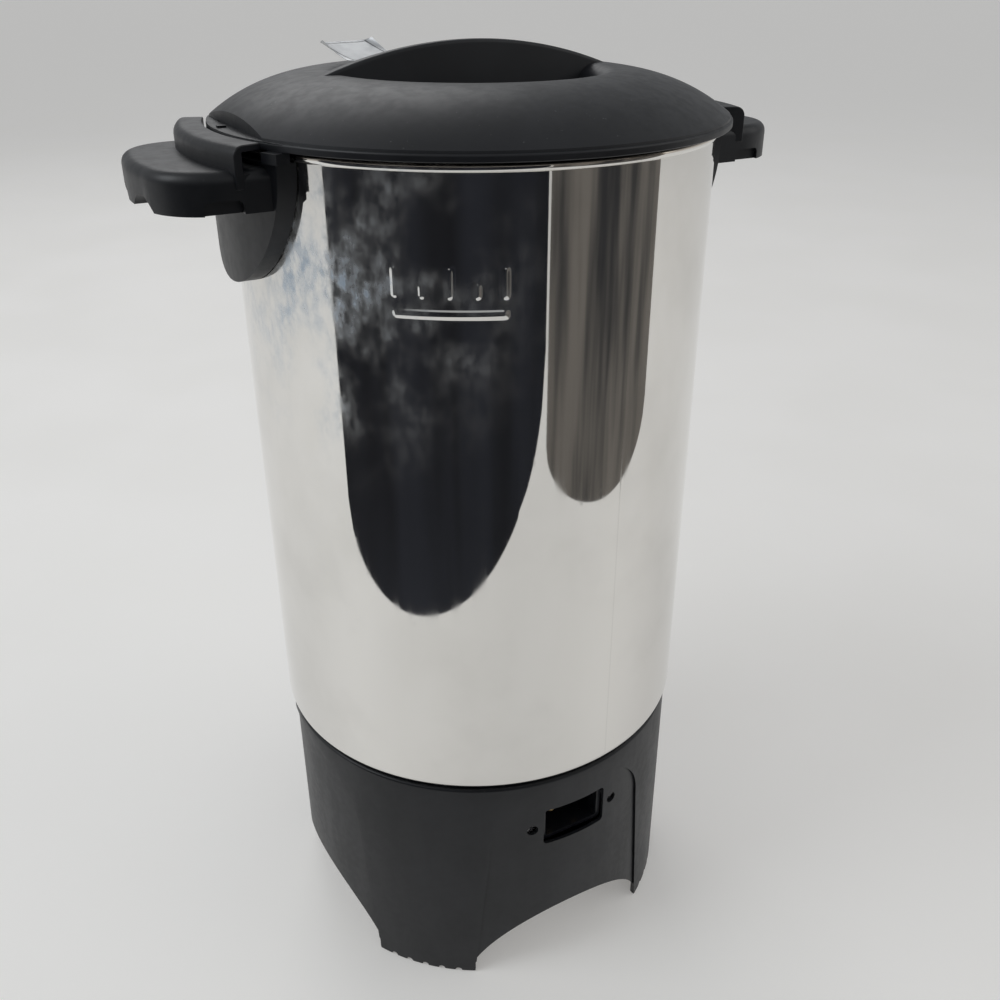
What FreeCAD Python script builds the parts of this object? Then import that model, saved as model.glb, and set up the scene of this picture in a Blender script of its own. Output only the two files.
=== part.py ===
import FreeCAD, Part
import math
import os

# Coffee urn. Millimetres, +Z up, origin on the urn's axis at table level.
# The tap is at -Y, the power inlet at +Y and the two handles at +X and -X.

V = FreeCAD.Vector
Z_AXIS = V(0, 0, 1)
TURN_180 = 180.0

# Vessel
VESSEL_R = 92.5
LID_OVERHANG = 5.5
LID_R = VESSEL_R + LID_OVERHANG
VESSEL_WALL = 1.3
VESSEL_FLOOR_Z = 113.2
VESSEL_H = 252.2
VESSEL_CORNER_R = 5.5
VESSEL_RIM_Z = VESSEL_FLOOR_Z + VESSEL_H
BEAD_CENTRE_R = VESSEL_R - 0.4
BEAD_R = 1.6
WELL_R = 21.0
WELL_DEPTH = 9.0
WELL_FLOOR_Z = VESSEL_FLOOR_Z - WELL_DEPTH

# Level mark pressed into the vessel wall
LEVEL_DROP = 46.1
LEVEL_Z = VESSEL_RIM_Z - LEVEL_DROP
LEVEL_BAR_H = 4.0
LEVEL_FROM_DEG = 45.8
LEVEL_TO_DEG = 69.8
LEVEL_RAISE = 0.7
TICK_COUNT = 5
TICK_W_DEG = 1.6
TICK_LOW_Z = LEVEL_Z + 4.7
TICK_SHORT = 6.0
TICK_LONG = 11.0

# Base housing
BASE_STEP = 1.5
BASE_R = VESSEL_R - BASE_STEP
BASE_WALL = 2.6
BASE_TOP_Z = VESSEL_FLOOR_Z - 0.6
DECK_HOLE_R = VESSEL_R - 30.0
DECK_EDGE_R = VESSEL_R - VESSEL_CORNER_R - 0.2
DECK_T = 3.2
PANEL_RECESS = 1.0
PANEL_LOW_HALF_W = 45.6
PANEL_MID_HALF_W = 38.6
PANEL_TOP_Z = BASE_TOP_Z - 3.6
PANEL_MID_Z = PANEL_TOP_Z - 33.0
ARCH_HALF_W = 45.2
ARCH_SPRING_Z = 6.0
ARCH_H = 29.0
FOOT_NOTCH_R = 1.6
FOOT_NOTCH_DEPTH = 1.9
FOOT_NOTCHES = 5
FOOT_NOTCH_STEP_DEG = 5.07
LEG_RIB_T = 2.2
LEG_RIB_REACH = 9.0
LEG_RIB_SPREAD_DEG = 7.6

# Bottom plate and the stud that clamps it
PLATE_Z = 38.0
PLATE_T = 1.5
PLATE_R = BASE_R - BASE_WALL - 0.3
LEDGE_H = 3.0
LEDGE_IN_R = BASE_R - BASE_WALL - 5.4
STUD_R = 3.9
STUD_LOW_Z = 29.0
NUT_H = 6.5
NUT_FLATS = 13.0
WASHER_R = 11.0
WASHER_T = 1.6

# Power inlet
INLET_Z = BASE_TOP_Z - 27.35
INLET_W = 31.0
INLET_H = 19.5
INLET_CORNER_R = 2.0
INLET_FRONT_Y = BASE_R - 4.7
INLET_BACK_Y = INLET_FRONT_Y - 24.3
INLET_FLOOR_Y = INLET_BACK_Y + 4.0
INLET_WALL = 2.0
INLET_FLANGE_HALF_W = 25.5
INLET_FLANGE_HALF_H = 5.5
INLET_FLANGE_Y = BASE_R - 12.0
INLET_FLANGE_T = 3.0
INLET_SCREW_X = 20.5
INLET_SCREW_HOLE_R = 2.5
INLET_SCREW_SEAT_Y = BASE_R - 7.0
INLET_PIN_X = 6.5
INLET_PIN_R = 2.2
INLET_PIN_TIP_Y = INLET_FRONT_Y - 5.3
INLET_PIN_TAIL_Y = INLET_BACK_Y - 7.0

# Heating parts
HEATER_PLATE_R = DECK_HOLE_R - 2.5
HEATER_PLATE_T = 4.0
HEATER_PLATE_HOLE_R = 21.6
ELEMENT_RING_R = 33.0
ELEMENT_TUBE_R = 3.4
ELEMENT_Z = VESSEL_FLOOR_Z - 4.7
ELEMENT_GAP_DEG = 50.0
ELEMENT_LEG_Z = ELEMENT_Z - 20.5
ELEMENT_PIN_R = 1.5
ELEMENT_PIN_Z = ELEMENT_LEG_Z - 8.0
KEEP_RING_R = 25.4
KEEP_TUBE_R = 2.0
KEEP_Z = VESSEL_FLOOR_Z - 4.2
KEEP_GAP_DEG = 120.0
KEEP_LEG_Z = KEEP_Z - 17.0
GROOVE_PLAY = 0.2
THERMOSTAT_R = 8.0
THERMOSTAT_AT = (0.0, -48.0)
FUSE_AT = (46.0, 12.0)
FUSE_R = 2.4
FUSE_L = 16.0
SHIELD_FLOOR_Z = VESSEL_FLOOR_Z - 16.2
SHIELD_T = 0.9
SHIELD_R = DECK_HOLE_R + 1.8
SHIELD_FLANGE_R = SHIELD_R + 8.7
LEG_HOLE_R = 5.4

# Indicator lamp in the front of the base
LAMP_Z = BASE_TOP_Z - 28.6
LAMP_HOLE_R = 4.6
LENS_HEAD_R = 6.2

# Side handles
SHIELD_PLATE_IN_R = VESSEL_R + 0.4
SHIELD_PLATE_OUT_R = SHIELD_PLATE_IN_R + 5.9
SHIELD_TONGUE_HALF_W = 40.3
SHIELD_TONGUE_DROP = 45.5
SHIELD_TOP_Z = VESSEL_RIM_Z - 1.4
COLLAR_IN_R = LID_R + 1.3
COLLAR_OUT_R = COLLAR_IN_R + 10.2
COLLAR_HALF_DEG = 20.3
COLLAR_TOP_Z = SHIELD_TOP_Z + 6.0
COLLAR_EDGE_R = 1.3
COLLAR_SHOULDER_R = 3.6
GRIP_LENGTH = 28.5
GRIP_REACH = SHIELD_PLATE_OUT_R + GRIP_LENGTH
GRIP_HALF_W = 37.0
GRIP_CORNER_R = 22.0
GRIP_BULGE = 1.5
GRIP_H = 13.5
GRIP_TOP_Z = SHIELD_TOP_Z - 1.5
GRIP_LOW_Z = GRIP_TOP_Z - GRIP_H
GRIP_EDGE_R = 4.0
GRIP_WALL = 5.5
POCKET_CORNER_R = 12.0
SIDE_CUT_END = 14.0
GRIP_ROOF = 4.0
GRIP_ROOT_X = SHIELD_PLATE_OUT_R + 7.2
GROOVE_R = 11.0
GROOVE_Y = 13.0
GROOVE_TOP_Z = GRIP_LOW_Z + 4.5
SIDE_CUT_TOP_Z = GRIP_LOW_Z + 4.5
LOCK_SLOT_OUT_R = COLLAR_OUT_R - 3.2
LOCK_SLOT_LOW_Z = SHIELD_TOP_Z - 2.7
LOCK_SLOT_TOP_Z = LOCK_SLOT_LOW_Z + 6.5
LOCK_SLOT_END_DEG = 7.0
HANDLE_SCREW_Y = 14.0
HANDLE_SCREW_Z = GRIP_TOP_Z - 7.0
HANDLE_SCREW_R = 2.0
HANDLE_SCREW_HEAD_R = 4.0
SCREW_TIP_X = VESSEL_R + 10.5

# Lid
LID_UNDER_Z = VESSEL_RIM_Z + BEAD_R + 0.6
LID_FLANGE_T = 2.6
LID_FLANGE_TOP_Z = LID_UNDER_Z + LID_FLANGE_T
LID_EDGE_STEP = 0.8
LID_DOME_H = 14.5
LID_CREST_R = 54.0
LID_CREST_Z = LID_FLANGE_TOP_Z + LID_EDGE_STEP + LID_DOME_H
LID_EDGE_R = LID_R - 1.0
LID_DOME_R = ((LID_EDGE_R - LID_CREST_R) ** 2 + LID_DOME_H ** 2) / (2 * LID_DOME_H)
LID_WALL = 2.5
LID_FLAT_X = LID_R - 6.5
LID_WELL_DEPTH = 14.5
LID_WELL_FLOOR_Z = LID_CREST_Z - LID_WELL_DEPTH
WELL_ROLL_R = 8.0
WELL_BOWL_R = 8.0
WELL_SLOPE_DEG = 60.0
BLADE_HALF_L = LID_CREST_R + 6.0
BLADE_FOOT_T = 9.0
BLADE_CROWN_T = 4.4
BLADE_H = 10.0
BLADE_TOP_Z = LID_CREST_Z + BLADE_H
SPIGOT_OUT_R = VESSEL_R - 3.1
SPIGOT_T = 2.0
SPIGOT_LOW_Z = VESSEL_RIM_Z - 3.4
LUG_FROM_DEG = 21.5
LUG_TO_DEG = 25.5
LUG_IN_R = VESSEL_R + 2.5
LUG_OUT_R = COLLAR_IN_R + 1.6
LUG_TOP_Z = LID_UNDER_Z - 0.2
LUG_LOW_Z = LUG_TOP_Z - 3.4
STICKER_T = 0.2
STICKER_FROM_X = 4.0
STICKER_TO_X = 34.0
STICKER_FROM_Y = -86.0
STICKER_TO_Y = -64.0

# Brewing set
STEM_R = 4.6
STEM_BORE_R = 3.6
STEM_LOW_Z = WELL_FLOOR_Z + 16.8
STEM_TOP_Z = VESSEL_RIM_Z - 0.4
FOOT_R = WELL_R - 2.4
FOOT_T = 1.0
FOOT_Z = WELL_FLOOR_Z + VESSEL_WALL + 0.1
FOOT_NECK_Z = STEM_LOW_Z + 3.0
VALVE_R = 6.0
VALVE_T = 1.2
VALVE_TRAVEL = 2.0
BASKET_R = VESSEL_R - 14.5
BASKET_T = 0.9
BASKET_LOW_Z = VESSEL_RIM_Z - 43.4
BASKET_TOP_Z = BASKET_LOW_Z + 35.0
BASKET_SLEEVE_R = 6.0
COVER_R = BASKET_R + 1.2
COVER_T = 0.9
COVER_GAP = 0.2
STEM_PLAY = 0.1
DRAIN_HOLE_R = 1.2

# Tap
TAP_Z = VESSEL_FLOOR_Z + 22.8
TAP_Y = -VESSEL_R - 39.5
TAP_SHANK_R = 8.0
TAP_SHANK_END_Y = -VESSEL_R + 17.5
TAP_FLANGE_R = 14.0
TAP_FLANGE_Y = -VESSEL_R - 2.7
TAP_FLANGE_T = 3.3
TAP_BARREL_R = 10.5
TAP_BORE_R = 4.5
TAP_BODY_R = 13.0
TAP_BODY_LOW_Z = TAP_Z - 18.0
TAP_BODY_TOP_Z = TAP_Z + 22.0
TAP_SPOUT_R = 9.0
TAP_SPOUT_BORE_R = 6.0
TAP_SPOUT_LOW_Z = TAP_Z - 32.0
TAP_CHAMBER_R = 9.5
TAP_SEAT_Z = TAP_Z - 5.0
TAP_SEAT_BORE_R = 5.5
BONNET_R = 14.6
BONNET_LOW_Z = TAP_Z + 13.0
BONNET_TOP_Z = TAP_BODY_TOP_Z + 5.0
BONNET_PLAY = 0.08
VALVE_STEM_R = 3.4
VALVE_STEM_PLAY = 0.1
VALVE_STEM_TOP_Z = BONNET_TOP_Z + 9.0
STEM_FLANGE_R = 7.4
STEM_FLANGE_Z = TAP_SEAT_Z + 6.0
STEM_FLANGE_T = 2.0
SPRING_R = 5.6
SPRING_WIRE_R = 0.7
SPRING_TURNS = 5.0
LEVER_PIVOT_Z = BONNET_TOP_Z + 6.0
LEVER_CAM_R = 5.5
LEVER_CAM_OFFSET = 4.5
LEVER_HALF_W = 8.0
LEVER_SLOT_HALF_W = 3.8
LEVER_PIN_R = 1.55
LEVER_PIN_PLAY = 0.06
LEVER_TOP_Z = LEVER_PIVOT_Z + 47.0
LEVER_LEAN = 14.0
LEVER_T = 6.0

# Sight gauge
GAUGE_Y = -VESSEL_R - 14.5
GAUGE_SOCKET_R = 8.5
GAUGE_SOCKET_TOP_Z = TAP_BODY_TOP_Z
GAUGE_BORE_R = 5.6
GAUGE_GLASS_R = 5.0
GAUGE_GLASS_BORE_R = 3.7
GAUGE_LOW_Z = TAP_Z + 8.2
GAUGE_TOP_Z = VESSEL_RIM_Z - 25.4
GUARD_HALF_W = 11.5
GUARD_WALL = 2.5
GUARD_FRONT_Y = GAUGE_Y - 6.0
GUARD_BACK_Y = GAUGE_Y + 8.0
GUARD_LOW_Z = GAUGE_SOCKET_TOP_Z + 2.0
GUARD_TOP_Z = GAUGE_TOP_Z + 10.0
GUARD_SCREW_Z = GAUGE_TOP_Z - 10.0

# Wires
WIRE_R = 1.1
WIRE_GAP = 0.5


def cyl(radius, low, high, x=0.0, y=0.0):
    return Part.makeCylinder(radius, high - low, V(x, y, low))


def cyl_x(radius, x_from, x_to, y, z):
    return Part.makeCylinder(radius, x_to - x_from, V(x_from, y, z), V(1, 0, 0))


def cyl_y(radius, y_from, y_to, x, z):
    return Part.makeCylinder(radius, y_to - y_from, V(x, y_from, z), V(0, 1, 0))


def box(x0, x1, y0, y1, z0, z1):
    return Part.makeBox(x1 - x0, y1 - y0, z1 - z0, V(x0, y0, z0))


def tube(outer, inner, low, high, x=0.0, y=0.0):
    return cyl(outer, low, high, x, y).cut(cyl(inner, low - 1, high + 1, x, y))


def cone(r_low, r_high, low, high, x=0.0, y=0.0):
    return Part.makeCone(r_low, r_high, high - low, V(x, y, low))


def sector(r_in, r_out, from_deg, to_deg, low, high):
    disc = Part.makeCylinder(r_out, high - low, V(0, 0, low), Z_AXIS, to_deg - from_deg)
    disc.rotate(V(0, 0, 0), Z_AXIS, from_deg)
    return disc.cut(cyl(r_in, low - 1, high + 1))


def line(a, b):
    return Part.makeLine(a, b)


def arc_through(a, mid, b):
    return Part.Arc(a, mid, b).toShape()


def spun(edges):
    face = Part.Face(Part.Wire(edges))
    return face.revolve(V(0, 0, 0), Z_AXIS, 360)


def spun_points(points):
    corners = [V(r, 0, z) for r, z in points]
    wire = Part.makePolygon(corners + [corners[0]])
    return Part.Face(wire).revolve(V(0, 0, 0), Z_AXIS, 360)


def turned(shape, degrees):
    copy = shape.copy()
    copy.rotate(V(0, 0, 0), Z_AXIS, degrees)
    return copy


def moved(shape, x, y, z):
    copy = shape.copy()
    copy.translate(V(x, y, z))
    return copy


def group(solids):
    return Part.makeCompound(solids)


def hexagon(flats, low, high, x=0.0, y=0.0):
    radius = flats / math.sqrt(3.0)
    corners = []
    for step in range(7):
        angle = math.radians(60.0 * step + 30.0)
        corners.append(V(x + radius * math.cos(angle), y + radius * math.sin(angle), low))
    return Part.Face(Part.makePolygon(corners)).extrude(V(0, 0, high - low))


def rounded_block(x0, x1, z0, z1, radius, y0, y1):
    """A block along Y whose four long edges are rounded."""
    block = box(x0, x1, y0, y1, z0, z1)
    long_edges = [e for e in block.Edges if abs(e.Vertexes[0].Y - e.Vertexes[1].Y) > 1e-6]
    return block.makeFillet(radius, long_edges)


def pipe_along(points, radius):
    curve = Part.BSplineCurve()
    curve.interpolate([V(*p) for p in points])
    spine = Part.Wire(curve.toShape())
    start = curve.value(curve.FirstParameter)
    heading = curve.tangent(curve.FirstParameter)[0]
    ring = Part.Wire(Part.makeCircle(radius, start, heading))
    return spine.makePipeShell([ring], True, True)


def vessel():
    corner = VESSEL_CORNER_R
    wall = VESSEL_WALL
    floor = VESSEL_FLOOR_Z
    centre_r = VESSEL_R - corner
    centre_z = floor + corner
    slope = math.sqrt(0.5)
    inner_corner = corner - wall
    a = V(0, 0, WELL_FLOOR_Z)
    b = V(WELL_R, 0, WELL_FLOOR_Z)
    c = V(WELL_R, 0, floor)
    d = V(centre_r, 0, floor)
    d_mid = V(centre_r + corner * slope, 0, centre_z - corner * slope)
    e = V(VESSEL_R, 0, centre_z)
    f = V(VESSEL_R, 0, VESSEL_RIM_Z)
    g = V(VESSEL_R - wall, 0, VESSEL_RIM_Z)
    h = V(VESSEL_R - wall, 0, centre_z)
    h_mid = V(centre_r + inner_corner * slope, 0, centre_z - inner_corner * slope)
    i = V(centre_r, 0, floor + wall)
    j = V(WELL_R - wall, 0, floor + wall)
    k = V(WELL_R - wall, 0, WELL_FLOOR_Z + wall)
    m = V(0, 0, WELL_FLOOR_Z + wall)
    shell = spun([
        line(a, b),
        line(b, c),
        line(c, d),
        arc_through(d, d_mid, e),
        line(e, f),
        line(f, g),
        line(g, h),
        arc_through(h, h_mid, i),
        line(i, j),
        line(j, k),
        line(k, m),
        line(m, a),
    ])
    bead = Part.makeTorus(BEAD_CENTRE_R, BEAD_R, V(0, 0, VESSEL_RIM_Z))
    shell = shell.fuse(bead)
    inner = VESSEL_R - 0.4
    outer = VESSEL_R + LEVEL_RAISE
    bar = sector(inner, outer, LEVEL_FROM_DEG, LEVEL_TO_DEG,
                 LEVEL_Z - LEVEL_BAR_H / 2, LEVEL_Z + LEVEL_BAR_H / 2)
    shell = shell.fuse(bar)
    spread = LEVEL_TO_DEG - LEVEL_FROM_DEG - TICK_W_DEG
    for step in range(TICK_COUNT):
        start = LEVEL_FROM_DEG + spread * step / (TICK_COUNT - 1)
        height = TICK_LONG if step % 2 == 0 else TICK_SHORT
        tick = sector(inner, outer, start, start + TICK_W_DEG, TICK_LOW_Z, TICK_LOW_Z + height)
        shell = shell.fuse(tick)
    shell = shell.cut(cyl_y(TAP_SHANK_R + 0.4, -VESSEL_R - 5, -VESSEL_R + 6, 0, TAP_Z))
    shell = shell.cut(cyl_y(HANDLE_SCREW_R + 0.2, -VESSEL_R - 5, -VESSEL_R + 6, 0, GUARD_SCREW_Z))
    for side in (-HANDLE_SCREW_Y, HANDLE_SCREW_Y):
        hole = cyl_x(HANDLE_SCREW_R + 0.2, VESSEL_R - 8, VESSEL_R + 5, side, HANDLE_SCREW_Z)
        shell = shell.cut(hole)
        shell = shell.cut(turned(hole, TURN_180))
    return shell.removeSplitter()


def ellipse_top(half_w, spring_z, height):
    """The upper half of an ellipse in the YZ plane, from +Y over the top to -Y."""
    if half_w >= height:
        major, minor, axis = half_w, height, V(0, 1, 0)
    else:
        major, minor, axis = height, half_w, V(0, 0, 1)
    centre = V(0, 0, spring_z)
    shape = Part.Ellipse(centre + axis * major, centre + (V(0, 1, 0) + V(0, 0, 1) - axis) * minor, centre)
    edge = shape.toShape()
    whole = Part.Face(Part.Wire(edge))
    return whole


def arch_prism(half_w, spring_z, height, low, x_from, x_to):
    """An upright arch outline, half ellipse over straight sides, run along X."""
    face = ellipse_top(half_w, spring_z, height)
    face.translate(V(x_from, 0, 0))
    round_part = face.extrude(V(x_to - x_from, 0, 0))
    keep = box(x_from - 1, x_to + 1, -half_w - 1, half_w + 1, spring_z, spring_z + height + 1)
    round_part = round_part.common(keep)
    straight = box(x_from, x_to, -half_w, half_w, low, spring_z)
    return round_part.fuse(straight)


def low_arch_prism(half_w, spring_z, height, low, x_from, x_to):
    """A wide opening under one round arc, run along X."""
    outline = Part.Wire([
        line(V(x_from, -half_w, low), V(x_from, -half_w, spring_z)),
        arc_through(V(x_from, -half_w, spring_z), V(x_from, 0, spring_z + height), V(x_from, half_w, spring_z)),
        line(V(x_from, half_w, spring_z), V(x_from, half_w, low)),
        line(V(x_from, half_w, low), V(x_from, -half_w, low)),
    ])
    return Part.Face(outline).extrude(V(x_to - x_from, 0, 0))


def panel_prism(x_from, x_to):
    """The shallow panel over each arch: tapered sides under half an ellipse."""
    round_part = arch_prism(PANEL_MID_HALF_W, PANEL_MID_Z, PANEL_TOP_Z - PANEL_MID_Z,
                            PANEL_MID_Z - 1, x_from, x_to)
    corners = [
        V(x_from, -PANEL_LOW_HALF_W, -2),
        V(x_from, PANEL_LOW_HALF_W, -2),
        V(x_from, PANEL_MID_HALF_W, PANEL_MID_Z),
        V(x_from, -PANEL_MID_HALF_W, PANEL_MID_Z),
    ]
    sides = Part.Face(Part.makePolygon(corners + [corners[0]])).extrude(V(x_to - x_from, 0, 0))
    return round_part.fuse(sides)


def base_housing():
    inner = BASE_R - BASE_WALL
    shell = spun_points([
        (inner, 0),
        (BASE_R - 0.6, 0),
        (BASE_R, 0.6),
        (BASE_R, BASE_TOP_Z - 0.8),
        (BASE_R - 0.8, BASE_TOP_Z),
        (DECK_EDGE_R + 1.0, BASE_TOP_Z),
        (DECK_EDGE_R, VESSEL_FLOOR_Z),
        (DECK_HOLE_R, VESSEL_FLOOR_Z),
        (DECK_HOLE_R, VESSEL_FLOOR_Z - DECK_T),
        (inner, VESSEL_FLOOR_Z - DECK_T),
        (inner, PLATE_Z + PLATE_T + LEDGE_H),
        (LEDGE_IN_R, PLATE_Z + PLATE_T + LEDGE_H),
        (LEDGE_IN_R, PLATE_Z + PLATE_T),
        (inner, PLATE_Z + PLATE_T),
    ])
    leg_rib = box(inner - LEG_RIB_REACH, inner + 1, -LEG_RIB_T / 2, LEG_RIB_T / 2, 0, PLATE_Z - 0.2)
    deck_rib = box(DECK_HOLE_R + 12, inner + 1, -LEG_RIB_T / 2, LEG_RIB_T / 2,
                   PLATE_Z + PLATE_T + 1, VESSEL_FLOOR_Z - DECK_T + 1)
    for leg in range(4):
        middle = 45.0 + 90.0 * leg
        shell = shell.fuse(turned(leg_rib, middle - LEG_RIB_SPREAD_DEG))
        shell = shell.fuse(turned(leg_rib, middle + LEG_RIB_SPREAD_DEG))
        shell = shell.fuse(turned(deck_rib, middle))
    arch = low_arch_prism(ARCH_HALF_W, ARCH_SPRING_Z, ARCH_H, -2, -BASE_R - 5, BASE_R + 5)
    shell = shell.cut(arch)
    shell = shell.cut(turned(arch, 90))
    skin = tube(BASE_R + 4, BASE_R - PANEL_RECESS, -2, PANEL_TOP_Z + 2)
    panel = panel_prism(BASE_R - 40, BASE_R + 3).common(skin)
    for side in range(4):
        shell = shell.cut(turned(panel, 90.0 * side))
    notch = cyl_x(FOOT_NOTCH_R, inner - 12, BASE_R + 3, 0, FOOT_NOTCH_DEPTH - FOOT_NOTCH_R)
    for leg in range(4):
        for step in range(FOOT_NOTCHES):
            offset = (step - (FOOT_NOTCHES - 1) / 2.0) * FOOT_NOTCH_STEP_DEG
            shell = shell.cut(turned(notch, 45.0 + 90.0 * leg + offset))
    opening = rounded_block(-INLET_W / 2, INLET_W / 2, INLET_Z - INLET_H / 2, INLET_Z + INLET_H / 2,
                            INLET_CORNER_R, inner - 6, BASE_R + 4)
    for side in (-INLET_SCREW_X, INLET_SCREW_X):
        boss = cyl_y(4.6, INLET_FLANGE_Y + INLET_FLANGE_T, inner - 2.0, side, INLET_Z)
        shell = shell.fuse(boss.common(cyl(inner + 0.5, 0, BASE_TOP_Z)))
    shell = shell.cut(opening)
    for side in (-INLET_SCREW_X, INLET_SCREW_X):
        shell = shell.cut(cyl_y(INLET_SCREW_HOLE_R, INLET_SCREW_SEAT_Y, BASE_R + 3, side, INLET_Z))
        shell = shell.cut(cyl_y(1.6, INLET_FLANGE_Y, INLET_SCREW_SEAT_Y + 1, side, INLET_Z))
    shell = shell.cut(cyl_y(LAMP_HOLE_R, -BASE_R - 3, -inner + 6, 0, LAMP_Z))
    for step in range(3):
        angle = math.radians(120.0 * step + 30.0)
        x = (SHIELD_FLANGE_R - 4) * math.cos(angle)
        y = (SHIELD_FLANGE_R - 4) * math.sin(angle)
        shell = shell.cut(cyl(1.4, VESSEL_FLOOR_Z - DECK_T - 1, VESSEL_FLOOR_Z - 0.6, x, y))
    return shell.removeSplitter()


def bottom_plate():
    plate = cyl(PLATE_R, PLATE_Z, PLATE_Z + PLATE_T)
    plate = plate.cut(cyl(STUD_R + 0.3, PLATE_Z - 1, PLATE_Z + PLATE_T + 1))
    rib = Part.makeTorus(50.0, 1.2, V(0, 0, PLATE_Z + PLATE_T))
    return plate.fuse(rib.common(cyl(60, PLATE_Z + 0.3, PLATE_Z + 10))).removeSplitter()


def stud_and_nut():
    stud = cyl(STUD_R, STUD_LOW_Z, WELL_FLOOR_Z)
    washer = tube(WASHER_R, STUD_R + 0.3, PLATE_Z - WASHER_T, PLATE_Z)
    nut = hexagon(NUT_FLATS, PLATE_Z - WASHER_T - NUT_H, PLATE_Z - WASHER_T)
    nut = nut.cut(cyl(STUD_R + 0.05, 20, PLATE_Z))
    return stud, washer, nut


def ring_element(ring_r, tube_r, z, gap_deg, leg_z, gap_at_deg):
    """A round tube bent to an open ring, with both ends turned down."""
    ring = Part.makeTorus(ring_r, tube_r, V(0, 0, z), Z_AXIS, -180, 180, 360.0 - gap_deg)
    ring.rotate(V(0, 0, 0), Z_AXIS, gap_at_deg + gap_deg / 2.0)
    whole = ring
    for sign in (-1, 1):
        angle = math.radians(gap_at_deg + sign * gap_deg / 2.0)
        x = ring_r * math.cos(angle)
        y = ring_r * math.sin(angle)
        whole = whole.fuse(Part.makeSphere(tube_r, V(x, y, z)))
        whole = whole.fuse(cyl(tube_r, leg_z, z, x, y))
    return whole.removeSplitter()


def gap_ends(ring_r, gap_deg, gap_at_deg):
    ends = []
    for sign in (-1, 1):
        angle = math.radians(gap_at_deg + sign * gap_deg / 2.0)
        ends.append((ring_r * math.cos(angle), ring_r * math.sin(angle)))
    return ends


def heating():
    top = VESSEL_FLOOR_Z
    plate = tube(HEATER_PLATE_R, HEATER_PLATE_HOLE_R, top - HEATER_PLATE_T, top)
    main = ring_element(ELEMENT_RING_R, ELEMENT_TUBE_R, ELEMENT_Z, ELEMENT_GAP_DEG, ELEMENT_LEG_Z, 90)
    warm = ring_element(KEEP_RING_R, KEEP_TUBE_R, KEEP_Z, KEEP_GAP_DEG, KEEP_LEG_Z, 90)
    plate = plate.cut(Part.makeTorus(ELEMENT_RING_R, ELEMENT_TUBE_R + GROOVE_PLAY, V(0, 0, ELEMENT_Z)))
    plate = plate.cut(Part.makeTorus(KEEP_RING_R, KEEP_TUBE_R + GROOVE_PLAY, V(0, 0, KEEP_Z)))
    for x, y in gap_ends(ELEMENT_RING_R, ELEMENT_GAP_DEG, 90):
        plate = plate.cut(cyl(ELEMENT_TUBE_R + GROOVE_PLAY, ELEMENT_LEG_Z, ELEMENT_Z, x, y))
    for x, y in gap_ends(KEEP_RING_R, KEEP_GAP_DEG, 90):
        plate = plate.cut(cyl(KEEP_TUBE_R + GROOVE_PLAY, KEEP_LEG_Z, KEEP_Z, x, y))
    pins = []
    for x, y in gap_ends(ELEMENT_RING_R, ELEMENT_GAP_DEG, 90):
        pins.append(cyl(ELEMENT_PIN_R, ELEMENT_PIN_Z, ELEMENT_LEG_Z, x, y))
    for x, y in gap_ends(KEEP_RING_R, KEEP_GAP_DEG, 90):
        pins.append(cyl(1.0, KEEP_LEG_Z - 8, KEEP_LEG_Z, x, y))
    return plate, main, warm, group(pins)


def heat_shield():
    low = SHIELD_FLOOR_Z
    top = VESSEL_FLOOR_Z - DECK_T
    dish = spun_points([
        (STUD_R + 5, low),
        (SHIELD_R, low),
        (SHIELD_R, top - SHIELD_T),
        (SHIELD_FLANGE_R, top - SHIELD_T),
        (SHIELD_FLANGE_R, top),
        (SHIELD_R - SHIELD_T, top),
        (SHIELD_R - SHIELD_T, low + SHIELD_T),
        (STUD_R + 5, low + SHIELD_T),
    ])
    for x, y in gap_ends(ELEMENT_RING_R, ELEMENT_GAP_DEG, 90):
        dish = dish.cut(cyl(LEG_HOLE_R, low - 1, low + 2, x, y))
    for x, y in gap_ends(KEEP_RING_R, KEEP_GAP_DEG, 90):
        dish = dish.cut(cyl(LEG_HOLE_R - 2, low - 1, low + 2, x, y))
    for x, y in (THERMOSTAT_AT, FUSE_AT):
        dish = dish.cut(cyl(LEG_HOLE_R + 1, low - 1, low + 2, x, y))
    screws = []
    for step in range(3):
        angle = math.radians(120.0 * step + 30.0)
        x = (SHIELD_FLANGE_R - 4) * math.cos(angle)
        y = (SHIELD_FLANGE_R - 4) * math.sin(angle)
        dish = dish.cut(cyl(1.6, top - 2, top + 1, x, y))
        head = cyl(3.0, top - SHIELD_T - 2.2, top - SHIELD_T, x, y)
        shank = cyl(1.35, top - SHIELD_T, VESSEL_FLOOR_Z - 0.8, x, y)
        slot = box(x - 3.2, x + 3.2, y - 0.4, y + 0.4, top - SHIELD_T - 3, top - SHIELD_T - 1.4)
        screws.append(head.fuse(shank).cut(slot).removeSplitter())
    return dish.removeSplitter(), group(screws)


def thermostat():
    x, y = THERMOSTAT_AT
    top = VESSEL_FLOOR_Z - HEATER_PLATE_T
    body = cyl(THERMOSTAT_R, top - 3.0, top, x, y)
    body = body.fuse(cyl(THERMOSTAT_R - 1.4, top - 9.0, top - 3.0, x, y))
    tabs = box(x - 5.2, x - 4.4, y - 2, y + 2, top - 19.0, top - 9.0)
    tabs = tabs.fuse(box(x + 4.4, x + 5.2, y - 2, y + 2, top - 19.0, top - 9.0))
    return body.fuse(tabs).removeSplitter()


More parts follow.
